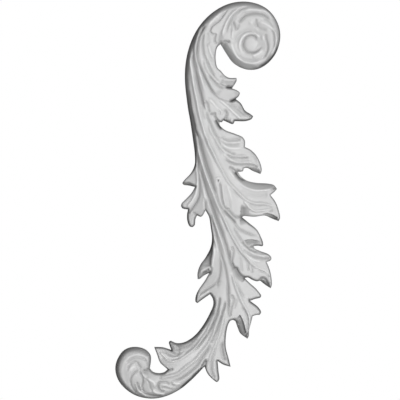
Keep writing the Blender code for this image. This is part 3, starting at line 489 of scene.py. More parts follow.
# The fourth right leaf
FOURTH_RIGHT_LEAF_CUTS = [
    pocket(2.8, 7, 4, 9, (243, 240.6), (246, 239.6), (251.7, 239.2), (256.4, 240), (262, 241.6)),
    groove(1.1, 1.9, 3, 4, (241.4, 240), (244.6, 244.4), (247.6, 247.3), (250.5, 249.6),
          (254, 250.9), (258, 252.2)),
    groove(1.4, 2, 1, 1, (249.4, 247.6), (251.6, 246.6), (253.4, 246.4)),
    ridge(0.6, 1.6, 3, 3, (240.5, 242.6), (244.6, 247.3), (248.2, 250.2), (252.3, 252.8),
          (257, 254.6), (262, 255.8), (266, 257)),
    groove(1.0, 3.2, 3, 1, (243.6, 249), (247, 253), (251.4, 255.6), (257, 257.6), (263, 258.3),
          (269.4, 258.6)),
    ridge(0.6, 2.2, 3, 3, (243, 250.6), (248, 255.6), (254, 259.6), (261, 261.6)),
    groove(0.6, 1.6, 4, 4, (234, 226), (236.6, 232), (240, 237.6), (244, 243)),
    groove(0.8, 1.5, 1, 1, (230.6, 247.6), (232.6, 247.4), (233.8, 250.8), (233.6, 255.5),
          (232.3, 259.6), (231.8, 263)),
    ridge(1.0, 2, 1, 2, (231.8, 249.6), (232, 253.2), (231.4, 257.6)),
    groove(1.3, 1.6, 1, 0, (232, 262), (233.2, 265.2), (234.6, 267.2), (236.8, 267.6), (238.6, 271),
          (240.6, 274.2), (243.2, 276), (246, 277.2)),
    pocket(2.6, 6, 3, 1, (233, 264.6), (236.8, 267.8), (238.6, 271), (240.6, 274.2), (243.2, 276),
          (246, 277.6)),
    groove(0.4, 1.5, 3, 2, (239.9, 255.5), (241.1, 260.8), (241.8, 267), (242, 272)),
    groove(0.6, 1.6, 3, 2, (247.8, 261), (248.3, 266.1), (249, 271.4)),
    groove(0.5, 1.6, 3, 2, (250.6, 264), (251.8, 268.5), (252.2, 273.4)),
    ridge(0.5, 1.4, 1, 1, (249.6, 266), (250.4, 270.4)),
    ridge(0.5, 1.6, 4, 3, (253, 265.8), (259, 268.6), (265, 271), (269.4, 275.4)),
    groove(0.7, 1.7, 3, 2, (255.4, 267.6), (259.9, 270.2), (263.5, 271.6), (267, 273.9),
          (269.6, 277.6)),
    groove(1.6, 2, 1, 1, (259.8, 279), (262, 277.8), (264.9, 278.4), (266.8, 281.4),
          (268.6, 284.6)),
    groove(1.6, 3.4, 1, 0, (262.4, 280.4), (265, 282.4), (268, 285.4)),
]

# The fifth right leaf
FIFTH_RIGHT_LEAF_CUTS = [
    ridge(1.0, 2.0, 6, 2, (232, 273), (234.2, 280), (236.5, 287.4), (238.4, 292.6), (240.7, 298.3),
          (243.2, 303.2), (245.6, 307.6), (247.8, 312.2), (249.3, 317), (249.8, 323), (249.4, 330)),
    groove(0.55, 1.7, 6, 6, (233.6, 274.4), (236.4, 282.6), (239.5, 289.1), (242, 294), (245, 299)),
    groove(0.7, 1.9, 4, 3, (241.2, 305.6), (244.8, 310.5), (247, 315.2), (248, 320), (248, 326),
          (247, 333)),
    groove(0.7, 1.5, 1, 1, (229.6, 295.6), (231.4, 295.2), (233.1, 297), (234.3, 300), (233.6, 304),
          (231.8, 308.2), (230.6, 312), (230.8, 316)),
    ridge(0.9, 1.9, 1, 2, (231, 298), (231.2, 302), (230.4, 307)),
    groove(0.4, 1.5, 2, 2, (237, 298), (235.6, 304), (234, 309)),
    pocket(3.0, 16, 1, 1, (236.4, 319), (238.3, 315.8), (239.8, 314.6), (241.6, 317), (243.4, 321),
          (244.8, 326), (246.6, 333)),
    groove(1.0, 1.7, 1, 2, (250.4, 300.4), (249, 299.2), (247.4, 298.4)),
]

# The two left leaves
LEFT_LEAF_CUTS = [
    groove(1.0, 1.7, 8, 1, (197, 152), (197.8, 162), (198.6, 170), (199.4, 178), (199.8, 186),
          (199.4, 194), (197.2, 201), (193.4, 207), (190.4, 211), (188.6, 214)),
    ridge(0.7, 1.8, 8, 3, (196.2, 166), (197.2, 174), (197.6, 183), (196.4, 192), (193.4, 199),
          (189.6, 204.6), (187, 208)),
    groove(0.8, 1.7, 2, 0, (191.4, 213.4), (194, 212.9), (197, 215.2)),
    ridge(0.5, 2, 5, 3, (203, 186), (204.6, 195), (205, 203)),
    groove(0.6, 1.6, 4, 0, (204, 196), (205, 203), (205.5, 209)),
    groove(0.8, 1.7, 3, 3, (220.8, 254), (220.6, 262), (220.6, 268), (220, 273.4), (218.8, 278.4),
          (217, 282), (214, 284.6), (210.8, 286.8), (206.8, 289.4), (202, 292.6), (198.6, 296.6)),
    groove(0.8, 3.4, 3, 6, (219.4, 278), (218, 283.6), (217.8, 289)),
    pocket(1.9, 14, 5, 3, (212.8, 242), (213, 249), (212.2, 254), (211, 260), (211, 267)),
    ridge(1.6, 7, 6, 8, (215, 243), (215.4, 252), (214.4, 260), (213.4, 268), (212, 278)),
    ridge(0.7, 1.8, 3, 4, (199.4, 272.4), (203.4, 270), (207, 268), (210.4, 265.8)),
    groove(1.6, 1.8, 1, 0, (209.6, 267.2), (211.4, 267.6), (211.4, 270.4), (210, 272.8)),
    groove(1.3, 3, 1, 2, (209.6, 269.2), (206, 271.4), (202, 274.4)),
    ridge(0.6, 1.7, 2, 3, (199, 297), (203.6, 294), (209.6, 290.4)),
]

# The flutes of the lower stem and the veins of its leaves
LOWER_STEM_CUTS = [
    groove(1.2, 1.4, 3, 14, (220, 296), (219.4, 303), (218, 309.4), (215.6, 316.6), (212.5, 324.6),
          (209.7, 330.3), (207.1, 334.4), (204.4, 338.5), (200.9, 343.2), (197.6, 347),
          (194, 350.6), (190, 354)),
    groove(1.1, 1.4, 4, 4, (225.8, 300), (224.4, 307), (222.4, 313.4), (220, 320), (218, 326),
          (216.2, 331.4), (214.4, 335.4), (212.6, 339.7), (210.3, 344.6)),
    groove(1.1, 2.2, 4, 12, (211.2, 342.8), (208.6, 348.5), (206, 352.8), (203.2, 356.8),
          (200.9, 360.3), (197.8, 365.2), (193.6, 369.2), (189, 372.8), (184.8, 376),
          (180.4, 378.6), (175, 380.2), (170, 381.6)),
    ridge(1.3, 2.2, 5, 3, (217, 309), (214.4, 315.6), (211, 323), (206.4, 332.6), (203.2, 336.8),
          (199.7, 342.1), (194.6, 347.9), (189.7, 352.1), (185.6, 355), (181.4, 357.9),
          (176.8, 359.7), (171.5, 360.3), (167.6, 358.8), (164.4, 356), (160, 351)),
    ridge(1.3, 2.4, 5, 4, (221.6, 309), (218.8, 318), (215.8, 326), (213.8, 332.6), (211.4, 338.7),
          (208.5, 343.8), (205, 348.5), (200.6, 353.8), (196.8, 358.5), (192.4, 362.1),
          (187.4, 365.6), (183.4, 369), (179.1, 372.6), (174, 374.6), (167, 376), (159, 377.4)),
    ridge(1.1, 2.2, 5, 4, (224.6, 313), (222.8, 322), (221.4, 328.5), (219.6, 335), (217.2, 340.9),
          (214.9, 346.8), (212.9, 352), (211, 357), (209.6, 363)),
    groove(0.8, 1.8, 4, 1, (216.4, 346), (214.4, 352.6), (212.7, 357.9), (211.9, 363.2),
          (211.9, 369.1), (212.8, 373.8), (215, 377.9)),
    groove(1.6, 5, 6, 3, (223.4, 340), (223.8, 347), (224.8, 354), (226.4, 360)),
    groove(1.9, 2, 1, 0, (201.8, 366.8), (203.8, 363.4), (205.6, 360.4)),
    groove(1.3, 1.8, 1, 0, (205.6, 360.4), (206, 363), (205, 366.4)),
    ridge(0.45, 4, 5, 8, (213.6, 313.6), (210.4, 320), (206.4, 327.6), (201.6, 335), (196.4, 341),
          (190.4, 346)),
    groove(0.8, 3, 4, 5, (199, 336.6), (194.4, 340.6), (189.6, 344), (184.4, 346), (178.4, 345.4),
          (174.4, 343.6)),
    groove(0.9, 2.4, 0, 2, (171.4, 345.6), (171.8, 349), (173.4, 352), (176.4, 353.4), (179, 352.6),
          (180, 350.6)),
    pocket(1.6, 6, 1, 4, (171, 344.6), (175, 344.6), (179, 346.4), (182.6, 348)),
    ridge(0.3, 1.6, 2, 2, (173, 344.6), (176, 347), (180, 348)),
    groove(0.6, 1.6, 2, 3, (161, 349.4), (165, 352), (170, 354.6), (175, 355.4), (180, 354.4)),
    ridge(0.5, 1.6, 2, 3, (160, 349.6), (164.6, 353.6), (169, 356.6), (174, 357.4), (180, 355.8),
          (186, 351)),
    groove(0.5, 1.6, 2, 4, (160, 352.6), (164, 357), (169, 359), (175, 358.6), (181, 356)),
    groove(1.2, 1.8, 0, 2, (167.6, 370), (170.4, 368.8), (174, 368.4)),
    pocket(4.0, 4.5, 6, 2, (178, 387.6), (183, 384.2), (192, 375.6), (201.6, 366)),
]

# The small scroll at the foot
SMALL_SCROLL_CUTS = [
    ridge(0.25, 3, 3, 3, (149.4, 361), (148.4, 358.4), (146, 356.2), (140.6, 354.6), (135.5, 354.4),
          (130.8, 355.9), (126.9, 358.8), (124.3, 362.8), (123, 367.5), (122.8, 371.8),
          (123.9, 376.9), (125.7, 381.8), (128.5, 386), (132, 389.5)),
    groove(0.6, 3, 3, 3, (145.6, 358.6), (141.6, 356.9), (137.6, 356.7), (133.6, 357.6),
          (129.8, 360), (127, 364)),
    groove(0.6, 1.8, 2, 5, (137, 360.9), (134, 361.2), (131.4, 362.8), (129.4, 365.2), (128.1, 368),
          (127.6, 371)),
    groove(0.65, 1.9, 1, 1, (136.4, 360.8), (138, 362.4), (139.2, 365), (141.4, 367.6)),
    ridge(0.4, 5, 3, 3, (130, 372.4), (131.6, 369), (134.4, 366.6), (137, 366.4)),
    groove(0.6, 1.7, 2, 1, (143, 358.4), (146.2, 359.6), (148, 362.4), (147.6, 365.4)),
    groove(1.4, 2.4, 1, 2, (149.2, 367.4), (147.4, 369.4), (144.6, 370), (142.4, 369)),
    groove(0.5, 2, 1, 2, (142.6, 370.2), (145.6, 372), (149.4, 373)),
    groove(0.7, 1.6, 1, 1, (138.6, 369.8), (136, 370.8), (134, 372.6), (131.8, 375.8),
          (130.8, 379.3), (131.1, 382.8), (132.3, 386.4), (134.2, 389.4), (136.6, 392.4)),
    groove(1.0, 1.6, 1, 1, (140.2, 369.9), (141.6, 373.4), (143.2, 376.9), (143.5, 380.5),
          (142.7, 384.6), (142.7, 388.1), (144.4, 391)),
    ridge(0.6, 1.7, 1, 2, (142.4, 371.4), (144.2, 375), (147, 376.6)),
    groove(1.1, 1.6, 2, 1, (137.2, 380.5), (137.7, 384), (139.2, 387.5), (141.4, 390.5)),
    ridge(0.9, 1.5, 2, 2, (136, 381.6), (137, 385.8), (138.6, 389.9), (142.6, 393), (147.3, 395.8)),
    ridge(0.8, 1.6, 1, 1, (140.6, 383), (141, 386), (141.9, 388.4)),
    groove(0.5, 1.6, 1, 3, (144.6, 378), (147.4, 379.4), (149.4, 382.4), (150.3, 386.4),
          (152, 389.9), (154.6, 392.4)),
    ridge(0.8, 7, 4, 3, (146, 376.6), (151, 379), (155.4, 382), (157, 387)),
    groove(1.4, 3, 2, 3, (142.4, 391), (146.4, 393.4), (151, 394.6), (157, 395.4), (163, 395.4)),
    ridge(0.9, 2.4, 2, 2, (152.4, 388.6), (155, 391.4), (159, 393), (165.4, 393.8)),
    groove(1.1, 1.7, 1, 1, (161.4, 380.9), (159.4, 382.2), (158.6, 385.2), (159.3, 388.2),
          (161.6, 390.2), (165, 391)),
    groove(0.7, 1.6, 1, 2, (160.4, 381.4), (164.9, 381.3), (168, 382.4), (170, 385)),
    ridge(0.4, 2, 1, 2, (161.8, 384.8), (165.6, 384.4), (169.4, 385.8), (173.6, 387)),
    groove(0.6, 2.6, 1, 3, (160.8, 387.4), (164.9, 387.2), (169.6, 388.3), (174, 388.6)),
    groove(0.6, 1.6, 1, 2, (170.6, 381.2), (172.6, 384), (175.5, 386)),
    ridge(0.6, 1.8, 1, 2, (173, 382), (177, 383.4), (181, 383)),
]


ALL_CUTS = (VOLUTE_CUTS + FLUTE_CUTS + FIRST_RIGHT_LEAF_CUTS + SECOND_RIGHT_LEAF_CUTS
            + THIRD_RIGHT_LEAF_CUTS + MAIN_VEIN_CUTS + FOURTH_RIGHT_LEAF_CUTS
            + FIFTH_RIGHT_LEAF_CUTS + LEFT_LEAF_CUTS + LOWER_STEM_CUTS + SMALL_SCROLL_CUTS)


def cubic(a, b, c, d, share):
    """A smooth curve from b to c on its way from a to d, with centripetal knots."""
    knots = [0.0]
    for first, last in ((a, b), (b, c), (c, d)):
        knots.append(knots[-1] + math.sqrt(math.dist(first[:2], last[:2])))
    k0, k1, k2, k3 = knots
    t = (k1 + (k2 - k1) * share)[:, None]
    ab = (k1 - t) / (k1 - k0) * a + (t - k0) / (k1 - k0) * b
    bc = (k2 - t) / (k2 - k1) * b + (t - k1) / (k2 - k1) * c
    cd = (k3 - t) / (k3 - k2) * c + (t - k2) / (k3 - k2) * d
    first = (k2 - t) / (k2 - k0) * ab + (t - k0) / (k2 - k0) * bc
    last = (k3 - t) / (k3 - k1) * bc + (t - k1) / (k3 - k1) * cd
    return (k2 - t) / (k2 - k1) * first + (t - k1) / (k2 - k1) * last


def curve(points, spacing):
    """A smooth line through the points, with a point about every spacing squares."""
    given = np.array(points, float)
    ends = np.vstack([2 * given[0] - given[1], given, 2 * given[-1] - given[-2]])
    pieces = []
    for a, b, c, d in zip(ends, ends[1:], ends[2:], ends[3:]):
        count = max(1, round(math.dist(b[:2], c[:2]) / spacing))
        pieces.append(cubic(a, b, c, d, np.arange(count) / count))
    pieces.append(given[-1:])
    return np.vstack(pieces)


def blended(values, reach):
    """A running mean round the edge."""
    return np.mean([np.roll(values, k, 0) for k in range(-reach, reach + 1)], axis=0)


def joined_runs():
    """The runs of the edge with their start points, made one where they share a direction."""
    runs = HEAD_EDGES + LEFT_LEAF_EDGES + FOOT_EDGES + LOWER_LEAF_EDGES + UPPER_LEAF_EDGES
    joined = []
    end = runs[-1][1][-1]
    for kind, places in runs:
        run = [end] + places
        end = run[-1]
        if joined and smooth_joint(joined[-1][1], run):
            joined[-1][0].extend([kind] * len(places))
            joined[-1][1].extend(places)
        else:
            joined.append([[kind] * len(run), run])
    return joined


def smooth_joint(before, after):
    """Whether a run goes on in nearly the direction of the last one."""
    one = Vector(before[-1]) - Vector(before[-2])
    two = Vector(after[1]) - Vector(after[0])
    return one.angle(two) < SMOOTH_JOINT


def outline(spacing):
    """The whole edge as rows of column, row and the four values of its kind."""
    rows = []
    for kinds, run in joined_runs():
        marked = [place + kind for place, kind in zip(run, kinds)]
        rows.append(curve(marked, spacing)[:-1])
    edge = np.vstack(rows)
    edge[:, 2:] = blended(edge[:, 2:], round(BLEND_REACH / spacing))
    return edge


def nearest(places, line):
    """From each place to a line: the distance, the side, the way along, and that point's row."""
    starts = line[:-1, :2]
    run = line[1:, :2] - starts
    lengths = np.hypot(run[:, 0], run[:, 1])
    begun = np.concatenate([[0], np.cumsum(lengths)[:-1]])
    found = []
    for first in range(0, max(1, len(places)), CHUNK):
        away = places[first:first + CHUNK, None, :] - starts[None, :, :]
        share = np.clip((away * run).sum(2) / lengths ** 2, 0, 1)
        off = away - share[:, :, None] * run
        distance = np.hypot(off[:, :, 0], off[:, :, 1])
        best = distance.argmin(1)
        each = np.arange(len(best))
        share = share[each, best]
        off = off[each, best]
        side = np.sign(run[best, 0] * off[:, 1] - run[best, 1] * off[:, 0])
        at = line[best] + (line[best + 1] - line[best]) * share[:, None]
        found.append((distance[each, best], side, begun[best] + share * lengths[best], at))
    return [np.concatenate(kept) for kept in zip(*found)]


def drawn_line(cut, spacing):
    """The bottom of a cut or the crest of a ridge, with a column for how it leans.

    The drawing marks the shaded right wall of a cut and the lit right side of a ridge, so
    where a line runs up and down its bottom or crest is to the left of the mark. The lean is
    from -1 to 1: its sign says on which side of travel the right of the picture is.
    """
    line = curve(cut.points, spacing)
    run = np.gradient(line, axis=0)
    run /= np.hypot(run[:, 0], run[:, 1])[:, None]
    lean = -run[:, 1]
    if cut.kind in ("groove", "ridge"):
        right = np.column_stack([-run[:, 1], run[:, 0]]) * np.sign(lean)[:, None]
        line = line - right * (MARK_OFFSET * cut.width * np.abs(lean))[:, None]
    return np.column_stack([line, lean])


def around(places, line, reach):
    """The numbers of the places in the box round a line."""
    low = line[:, :2].min(0) - reach
    high = line[:, :2].max(0) + reach
    return np.flatnonzero(((places > low) & (places < high)).all(1))


def ease(value):
    """A soft climb from 0 to 1."""
    value = np.clip(value, 0, 1)
    return value * value * (3 - 2 * value)


def higher(first, second):
    """The greater of two heights, rounded where they meet."""
    return 0.5 * (first + second + np.sqrt((first - second) ** 2 + BLEND_RISE ** 2))


def body_rise(places):
    """The form before carving: the stem's round front, the leaves' level and the volute."""
    distance, _, _, at = nearest(places, curve(STEM_LINE, STEM_STEP))
    stem = (at[:, 2] - LEAF_RISE) * np.exp(-(distance * SQUARE / LEAF_SPREAD) ** 2)
    radius = np.hypot(places[:, 0] - VOLUTE_CENTRE[0], places[:, 1] - VOLUTE_CENTRE[1])
    near_volute = ease((VOLUTE_REACH - radius) / (VOLUTE_REACH - VOLUTE_RIM))
    rise = LEAF_RISE + higher(stem, (VOLUTE_RISE - LEAF_RISE) * near_volute)
    rise -= DISH_DEPTH * np.clip(1 - (radius / DISH_RADIUS) ** 2, 0, 1) ** 2
    return rise + EYE_RISE * np.clip(1 - (radius / EYE_RADIUS) ** 2, 0, 1)


def strengths(cut, line, along):
    """How strong a line of carving is at each place along it, from 0 to 1."""
    length = np.hypot(*np.diff(line[:, :2], axis=0).T).sum()
    strength = np.ones(len(along))
    if cut.fade_in:
        strength *= ease(along / cut.fade_in)
    if cut.fade_out:
        strength *= ease((length - along) / cut.fade_out)
    return strength


def cut_rise(cut, distance, side, strength, lean):
    """What one line of carving adds to the form at each place."""
    height = cut.depth * CUT_DEPTH * strength
    width = cut.width * (FADED_WIDTH + (1 - FADED_WIDTH) * strength)
    edge = 1 - np.exp(-distance / STEP_SOFTNESS)
    if cut.kind == "pocket":
        slope = np.clip(1 - distance / width, 0, 1)
        return -np.abs(height) * (side * cut.depth > 0) * edge * slope
    if cut.kind == "step":
        return height / 2 * side * edge * cusp(distance / width)
    if cut.kind == "ridge":
        return height * cusp((np.hypot(distance, CREST_ROUNDING) - CREST_ROUNDING) / width)
    shaded = side * lean > 0
    width = width * (1 + (SHADED_WIDER * shaded - LIT_NARROWER * ~shaded) * np.abs(lean))
    return height * cusp((np.hypot(distance, BOTTOM_ROUNDING) - BOTTOM_ROUNDING) / width)


def cut_painted_light(cut, distance, side, strength):
    """How much painted highlight lies on a crest, up to 1, and how much painted shade lies in a
    cut, a pocket or below a step.
    """
    depth = abs(cut.depth)
    if cut.kind == "ridge":
        return strength * np.exp(-(distance / CREST_LINE) ** 2) * min(1, depth / FULL_RIDGE)
    if cut.kind == "pocket":
        share = np.clip(POCKET_FADE * (1 - distance / cut.width), 0, 1)
        full = min(POCKET_DARKEST, depth / FULL_POCKET)
        return -strength * share * (side * cut.depth > 0) * full
    line = -strength * np.exp(-(distance / CUT_LINE) ** 2)
    if cut.kind == "groove":
        return line * min(DARKEST, depth / FULL_CUT)
    return line * min(1, depth / FULL_STEP) * (side * cut.depth < 0)


def cusp(share):
    """A fall from 1 to 0 that is steepest at its start."""
    return np.clip(1 - share, 0, 1) ** 2


def rounding(places):
    """How far up its rounded edge each place is, the upright height there and the painted shade
    along the rim.
    """
    edge = outline(EDGE_STEP)
    inward = np.ones(len(places))
    upright = np.zeros(len(places))
    roundness = np.ones(len(places))
    rim = np.zeros(len(places))
    for first in range(0, len(edge), BLOCK):
        line = edge[np.arange(first, min(first + BLOCK, len(edge)) + 1) % len(edge)]
        near = around(places, line, edge[:, 2].max())
        if not len(near):
            continue
        distance, _, _, at = nearest(places[near], line)
        share = distance / at[:, 2]
        closer = share < inward[near]
        inward[near[closer]] = share[closer]
        upright[near[closer]] = at[closer, 3]
        roundness[near[closer]] = at[closer, 4]
        # Painted shade along the rim of the edge, from the last value of its kind
        rim[near] = np.maximum(rim[near], at[:, 5] * np.exp(-(distance / RIM_LINE) ** 2))
    return (1 - (1 - inward) ** roundness) ** (1 / roundness), upright, rim


def carved_rise(places, cuts):
    """The finished height above the wall at each place, and the painted highlight or painted shade
    on the primer there.
    """
    rise = body_rise(places)
    lighter = np.zeros(len(places))
    darker = np.zeros(len(places))
    for cut in cuts:
        line = drawn_line(cut, CURVE_STEP)
        near = around(places, line, FARTHEST * cut.width)
        if not len(near):
            continue
        distance, side, along, at = nearest(places[near], line)
        strength = strengths(cut, line, along)
        rise[near] += cut_rise(cut, distance, side, strength, at[:, 2])
        # Painted highlight along ridges, painted shade along cuts, below steps and in pockets
        painted_light = cut_painted_light(cut, distance, side, strength)
        lighter[near] = np.maximum(lighter[near], painted_light)
        darker[near] = np.minimum(darker[near], painted_light)
    share, upright, rim = rounding(places)
    rise = upright + (np.maximum(rise, upright) - upright) * share
    return rise, np.maximum(lighter + darker - rim, -DARKEST)


def row_crossings(loop, row):
    """The columns where the loop crosses a row, from left to right."""
    ends = np.roll(loop, -1, 0)
    across = (loop[:, 1] > row) != (ends[:, 1] > row)
    start = loop[across]
    run = ends[across] - start
    return np.sort(start[:, 0] + (row - start[:, 1]) * run[:, 0] / run[:, 1])


def filling(loop, spacing):
    """Points in staggered rows all over the inside."""
    places = []
    rows = np.arange(loop[:, 1].min(), loop[:, 1].max(), spacing * math.sqrt(0.75))
    for number, row in enumerate(rows):
        crossings = row_crossings(loop, row)
        offset = (number % 2) * spacing / 2
        for start, end in zip(crossings[::2], crossings[1::2]):
            first = math.ceil((start - offset) / spacing)
            last = math.floor((end - offset) / spacing)
            places += [(offset + k * spacing, row) for k in range(first, last + 1)]
    return np.array(places)


def clear_of(places, others, gap):
    """The places that keep a gap to all the other points."""
    tree = KDTree(len(others))
    for number, (column, row) in enumerate(others):
        tree.insert((column, row, 0), number)
    tree.balance()
    return places[[tree.find((column, row, 0))[2] > gap for column, row in places]]


def edge_rows(edge, spacing):
    """Points in rows that follow the edge across its rounding."""
    loop = edge[:, :2]
    run = np.roll(loop, -1, 0) - np.roll(loop, 1, 0)
    inward = np.column_stack([run[:, 1], -run[:, 0]]) / np.hypot(run[:, 0], run[:, 1])[:, None]
    closed = np.vstack([loop, loop[:1]])
    rows = [loop]
    least_gap = ROW_CLEARANCE * min(spacing, 2 * LEAST_OFFSET)
    for share in ROW_SHARES:
        offset = np.maximum(share * edge[:, 2], LEAST_OFFSET)
        places = loop + inward * offset[:, None]
        gap, side, _, _ = nearest(places, closed)
        kept = places[(gap > TRUE_OFFSET * offset) & (side < 0)]
        rows.append(clear_of(kept, np.vstack(rows), least_gap))
    return np.vstack(rows[1:])


def triangulate(points, edges, loop_size):
    """Triangles inside the loop of the first points, with every edge kept."""
    flat = [Vector((column, -row)) for column, row in points]
    found = delaunay_2d_cdt(flat, edges, [list(range(loop_size))], 1, WELD)
    return np.array([(v.x, -v.y) for v in found[0]]), [tuple(face) for face in found[2]]


def boundary(faces):
    """The open edges in order, as one loop of point numbers."""
    directed = set()
    for face in faces:
        directed.update(zip(face, face[1:] + face[:1]))
    follow = {a: b for a, b in directed if (b, a) not in directed}
    first = min(follow)
    loop = [first]
    while follow[loop[-1]] != first:
        loop.append(follow[loop[-1]])
    return loop


def front_mesh(cuts, spacing):
    """The carved front: places on the pattern, their rises, the triangles and the painted light and
    shade.
    """
    edge = outline(spacing)
    loop = edge[:, :2]
    points = [loop]
    edges = []
    count = len(loop)
    for cut in cuts:
        line = clear_of(drawn_line(cut, spacing)[:, :2], loop, CLEARANCE * spacing)
        if len(line) > 1:
            points.append(line)
            edges += [(count + k, count + k + 1) for k in range(len(line) - 1)]
            count += len(line)
    points.append(clear_of(edge_rows(edge, spacing), np.vstack(points), EDGE_CLEARANCE * spacing))
    points.append(clear_of(filling(loop, spacing), np.vstack(points), CLEARANCE * spacing))
    places, faces = triangulate(np.vstack(points), edges, len(loop))
    rises, painted_light = carved_rise(places, cuts)
    return places, rises, faces, painted_light


def solid(places, rises, faces):
    """Closes the front with upright edges and a flat back."""
    def corner(place, rise):
        return ((place[0] - MOUNT_COLUMN) * SQUARE, HIGH.y - rise, (MOUNT_ROW - place[1]) * SQUARE)

    loop = boundary(faces)
    vertices = [corner(place, rise) for place, rise in zip(places, rises)]
    first = len(vertices)
    vertices += [corner(places[k], 0.0) for k in loop]
    count = len(loop)
    walls = []
    for k in range(count):
        after = (k + 1) % count
        walls.append((loop[after], loop[k], first + k, first + after))
    _, flat = triangulate(places[loop], [], count)
    back = [tuple(first + k for k in reversed(face)) for face in flat]
    return vertices, faces + walls + back


class Wire:
    """A node socket that Python's arithmetic can be used on."""

    def __init__(self, nodes, socket):
        self.nodes = nodes
        self.socket = socket

    def maths(self, operation, *values):
        node = self.nodes.node("ShaderNodeMath", {"operation": operation}, dict(enumerate(values)))
        return self.nodes.wire(node, 0)

    def __add__(self, other):
        return self.maths("ADD", self, other)

    __radd__ = __add__

    def __mul__(self, other):
        return self.maths("MULTIPLY", self, other)

    __rmul__ = __mul__


class Nodes:
    """The nodes of a material or of the world."""

    def __init__(self, tree):
        self.tree = tree

    def node(self, kind, settings=None, values=None):
        """A node of a kind, with its settings made first and then its sockets."""
        made = self.tree.nodes.new(kind)
        for name, value in (settings or {}).items():
            setattr(made, name, value)
        self.feed(made, values or {})
        return made

    def feed(self, node, values):
        """Gives each socket that is named its wire or its plain value."""
        for name, value in values.items():
            if isinstance(value, Wire):
                self.tree.links.new(value.socket, node.inputs[name])
            else:
                node.inputs[name].default_value = value

    def wire(self, node, output):
        return Wire(self, node.outputs[output])

    def noise(self, scale, detail):
        place = self.wire(self.node("ShaderNodeTexCoord"), "Object")
        values = {"Vector": place, "Scale": scale, "Detail": detail}
        return self.wire(self.node("ShaderNodeTexNoise", values=values), "Fac")


def finish(name):
    """A new material, its nodes and its shader."""
    material = bpy.data.materials.new(name)
    material.use_nodes = True
    return material, Nodes(material.node_tree), material.node_tree.nodes["Principled BSDF"]


# The primer, with painted highlight and shade: shares of tone and roughness, scales per metre, bump
# depth in metres
PRIMER_COLOUR = 0.67
CREST_PAINTED_HIGHLIGHT = 0.26
CUT_PAINTED_SHADE = 0.30
MOTTLE = 0.03
PRIMER_ROUGHNESS = 0.48
ROUGHNESS_RANGE = 0.12
MOTTLE_SCALE = 55.0
GRAIN_SCALE = 900.0
PEEL_SCALE = 2600.0
PEEL_SHARE = 0.5
BUMP_DEPTH = 0.00008
BUMP_STRENGTH = 0.35


def primer():
    """Satin white factory primer, a little uneven, with painted highlight on the crests and painted
    shade in the cuts, pockets and along the edges.
    """
    material, nodes, shader = finish("white_primer")
    mottle = nodes.noise(MOTTLE_SCALE, detail=3.0)
    grain = nodes.noise(GRAIN_SCALE, detail=2.0)
    peel = nodes.noise(PEEL_SCALE, detail=2.0)
    painted_light = nodes.wire(nodes.node("ShaderNodeAttribute", {"attribute_name": "painted_light"}), "Fac")
    crest = painted_light.maths("MAXIMUM", painted_light, 0.0)
    cut = painted_light.maths("MINIMUM", painted_light, 0.0)
    # Painted highlight on the crests and painted shade in the cuts and at the rims, added to the
    # primer's own tone
    tone = PRIMER_COLOUR - MOTTLE / 2 + MOTTLE * mottle + CREST_PAINTED_HIGHLIGHT * crest + CUT_PAINTED_SHADE * cut
    colour = nodes.node("ShaderNodeCombineColor", values={"Red": tone, "Green": tone, "Blue": tone})
    bump = nodes.node("ShaderNodeBump", values={"Height": grain + PEEL_SHARE * peel,
                                                "Distance": BUMP_DEPTH,
                                                "Strength": BUMP_STRENGTH})
    nodes.feed(shader, {
        "Base Color": nodes.wire(colour, "Color"),
        "Roughness": PRIMER_ROUGHNESS - ROUGHNESS_RANGE / 2 + ROUGHNESS_RANGE * grain,
        "Normal": nodes.wire(bump, "Normal"),
    })
    return material


def placed(name, data):
    """A new object in the scene."""
    made = bpy.data.objects.new(name, data)
    bpy.context.scene.collection.objects.link(made)
    return made


def casting():
    """The whole onlay, carved in full."""
    places, rises, front, painted_light = front_mesh(ALL_CUTS, POINT_SPACING)
    vertices, faces = solid(places, rises, front)
    mesh = bpy.data.meshes.new("carved_onlay")
    mesh.from_pydata(vertices, [], faces)
    # The painted highlight and painted shade, kept per point for the primer
    painted_light_layer = mesh.attributes.new("painted_light", "FLOAT", "POINT")
    painted_light_layer.data.foreach_set("value", np.append(painted_light, np.zeros(len(vertices) - len(painted_light))))
    mesh.shade_smooth()
    mesh.set_sharp_from_angle(angle=SHARP_EDGE)
    mesh.materials.append(primer())
    piece = placed("carved_onlay", mesh)
    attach(piece, "root")
    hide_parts(NODE)


# The picture in squares, the sensor in millimetres, distances and the floor in metres
PICTURE_SIDE = 400
CAMERA_DISTANCE = 4.0
SENSOR = 36.0
EDGE_PLANE = 0.004
WHITE = (1.0, 1.0, 1.0, 1.0)
ROUND_LIGHT = 0.06
FLOOR_COLOUR = (0.85, 0.85, 0.84, 1.0)
FLOOR_ROUGHNESS = 0.8
FLOOR_LEVEL = -0.30
FLOOR_FRONT = -1.5
FLOOR_BACK = 1.0
FLOOR_SIDE = 1.5


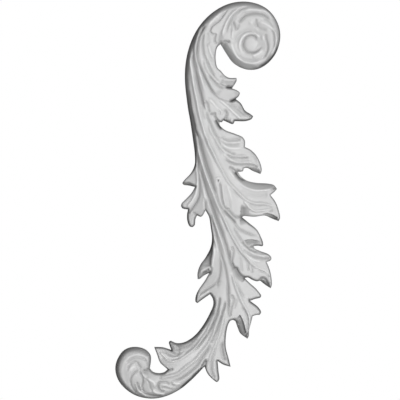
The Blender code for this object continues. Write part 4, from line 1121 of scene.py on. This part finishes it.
def camera():
    """Straight on, so that the picture's squares are the pattern's."""
    side = PICTURE_SIDE * SQUARE
    data = bpy.data.cameras.new("camera")
    data.sensor_width = SENSOR
    data.sensor_fit = "HORIZONTAL"
    data.lens = SENSOR * (CAMERA_DISTANCE - EDGE_PLANE) / side
    made = placed("camera", data)
    half = PICTURE_SIDE / 2
    made.location = ((half - MOUNT_COLUMN) * SQUARE, HIGH.y - CAMERA_DISTANCE,
                     (MOUNT_ROW - half) * SQUARE)
    made.rotation_euler = (math.radians(90), 0, 0)
    bpy.context.scene.camera = made


def lamp(name, azimuth, height, distance, size, power):
    """A soft square lamp that faces the onlay, turned about it from straight in front."""
    data = bpy.data.lights.new(name, "AREA")
    data.size = size
    data.energy = power
    made = placed(name, data)
    turn = math.radians(azimuth)
    lift = math.radians(height)
    away = Vector((math.sin(turn) * math.cos(lift), -math.cos(turn) * math.cos(lift),
                   math.sin(lift)))
    made.location = away * distance
    made.rotation_euler = away.to_track_quat("Z", "Y").to_euler()


def studio():
    """White behind, a little light from all round, and a pale floor below the view."""
    world = bpy.data.worlds.new("studio")
    world.use_nodes = True
    bpy.context.scene.world = world
    nodes = Nodes(world.node_tree)
    seen = world.node_tree.nodes["Background"]
    nodes.feed(seen, {"Color": WHITE, "Strength": 1.0})
    lit = nodes.node("ShaderNodeBackground", values={"Color": WHITE, "Strength": ROUND_LIGHT})
    camera_ray = nodes.wire(nodes.node("ShaderNodeLightPath"), "Is Camera Ray")
    mix = nodes.node("ShaderNodeMixShader", values={"Fac": camera_ray,
                                                    1: nodes.wire(lit, "Background"),
                                                    2: nodes.wire(seen, "Background")})
    nodes.feed(world.node_tree.nodes["World Output"], {"Surface": nodes.wire(mix, "Shader")})
    bpy.context.scene.view_settings.view_transform = "Standard"
    lamp("key", azimuth=17, height=3, distance=2.2, size=0.9, power=35)
    lamp("fill", azimuth=-5, height=20, distance=2.4, size=1.2, power=2)
    floor()


def floor():
    mesh = bpy.data.meshes.new("floor")
    corners = [(-FLOOR_SIDE, FLOOR_FRONT), (FLOOR_SIDE, FLOOR_FRONT), (FLOOR_SIDE, FLOOR_BACK),
               (-FLOOR_SIDE, FLOOR_BACK)]
    mesh.from_pydata([(x, y, FLOOR_LEVEL) for x, y in corners], [], [(0, 1, 2, 3)])
    material, nodes, shader = finish("pale_floor")
    nodes.feed(shader, {"Base Color": FLOOR_COLOUR, "Roughness": FLOOR_ROUGHNESS})
    mesh.materials.append(material)
    placed("floor", mesh)


casting()
camera()
studio()
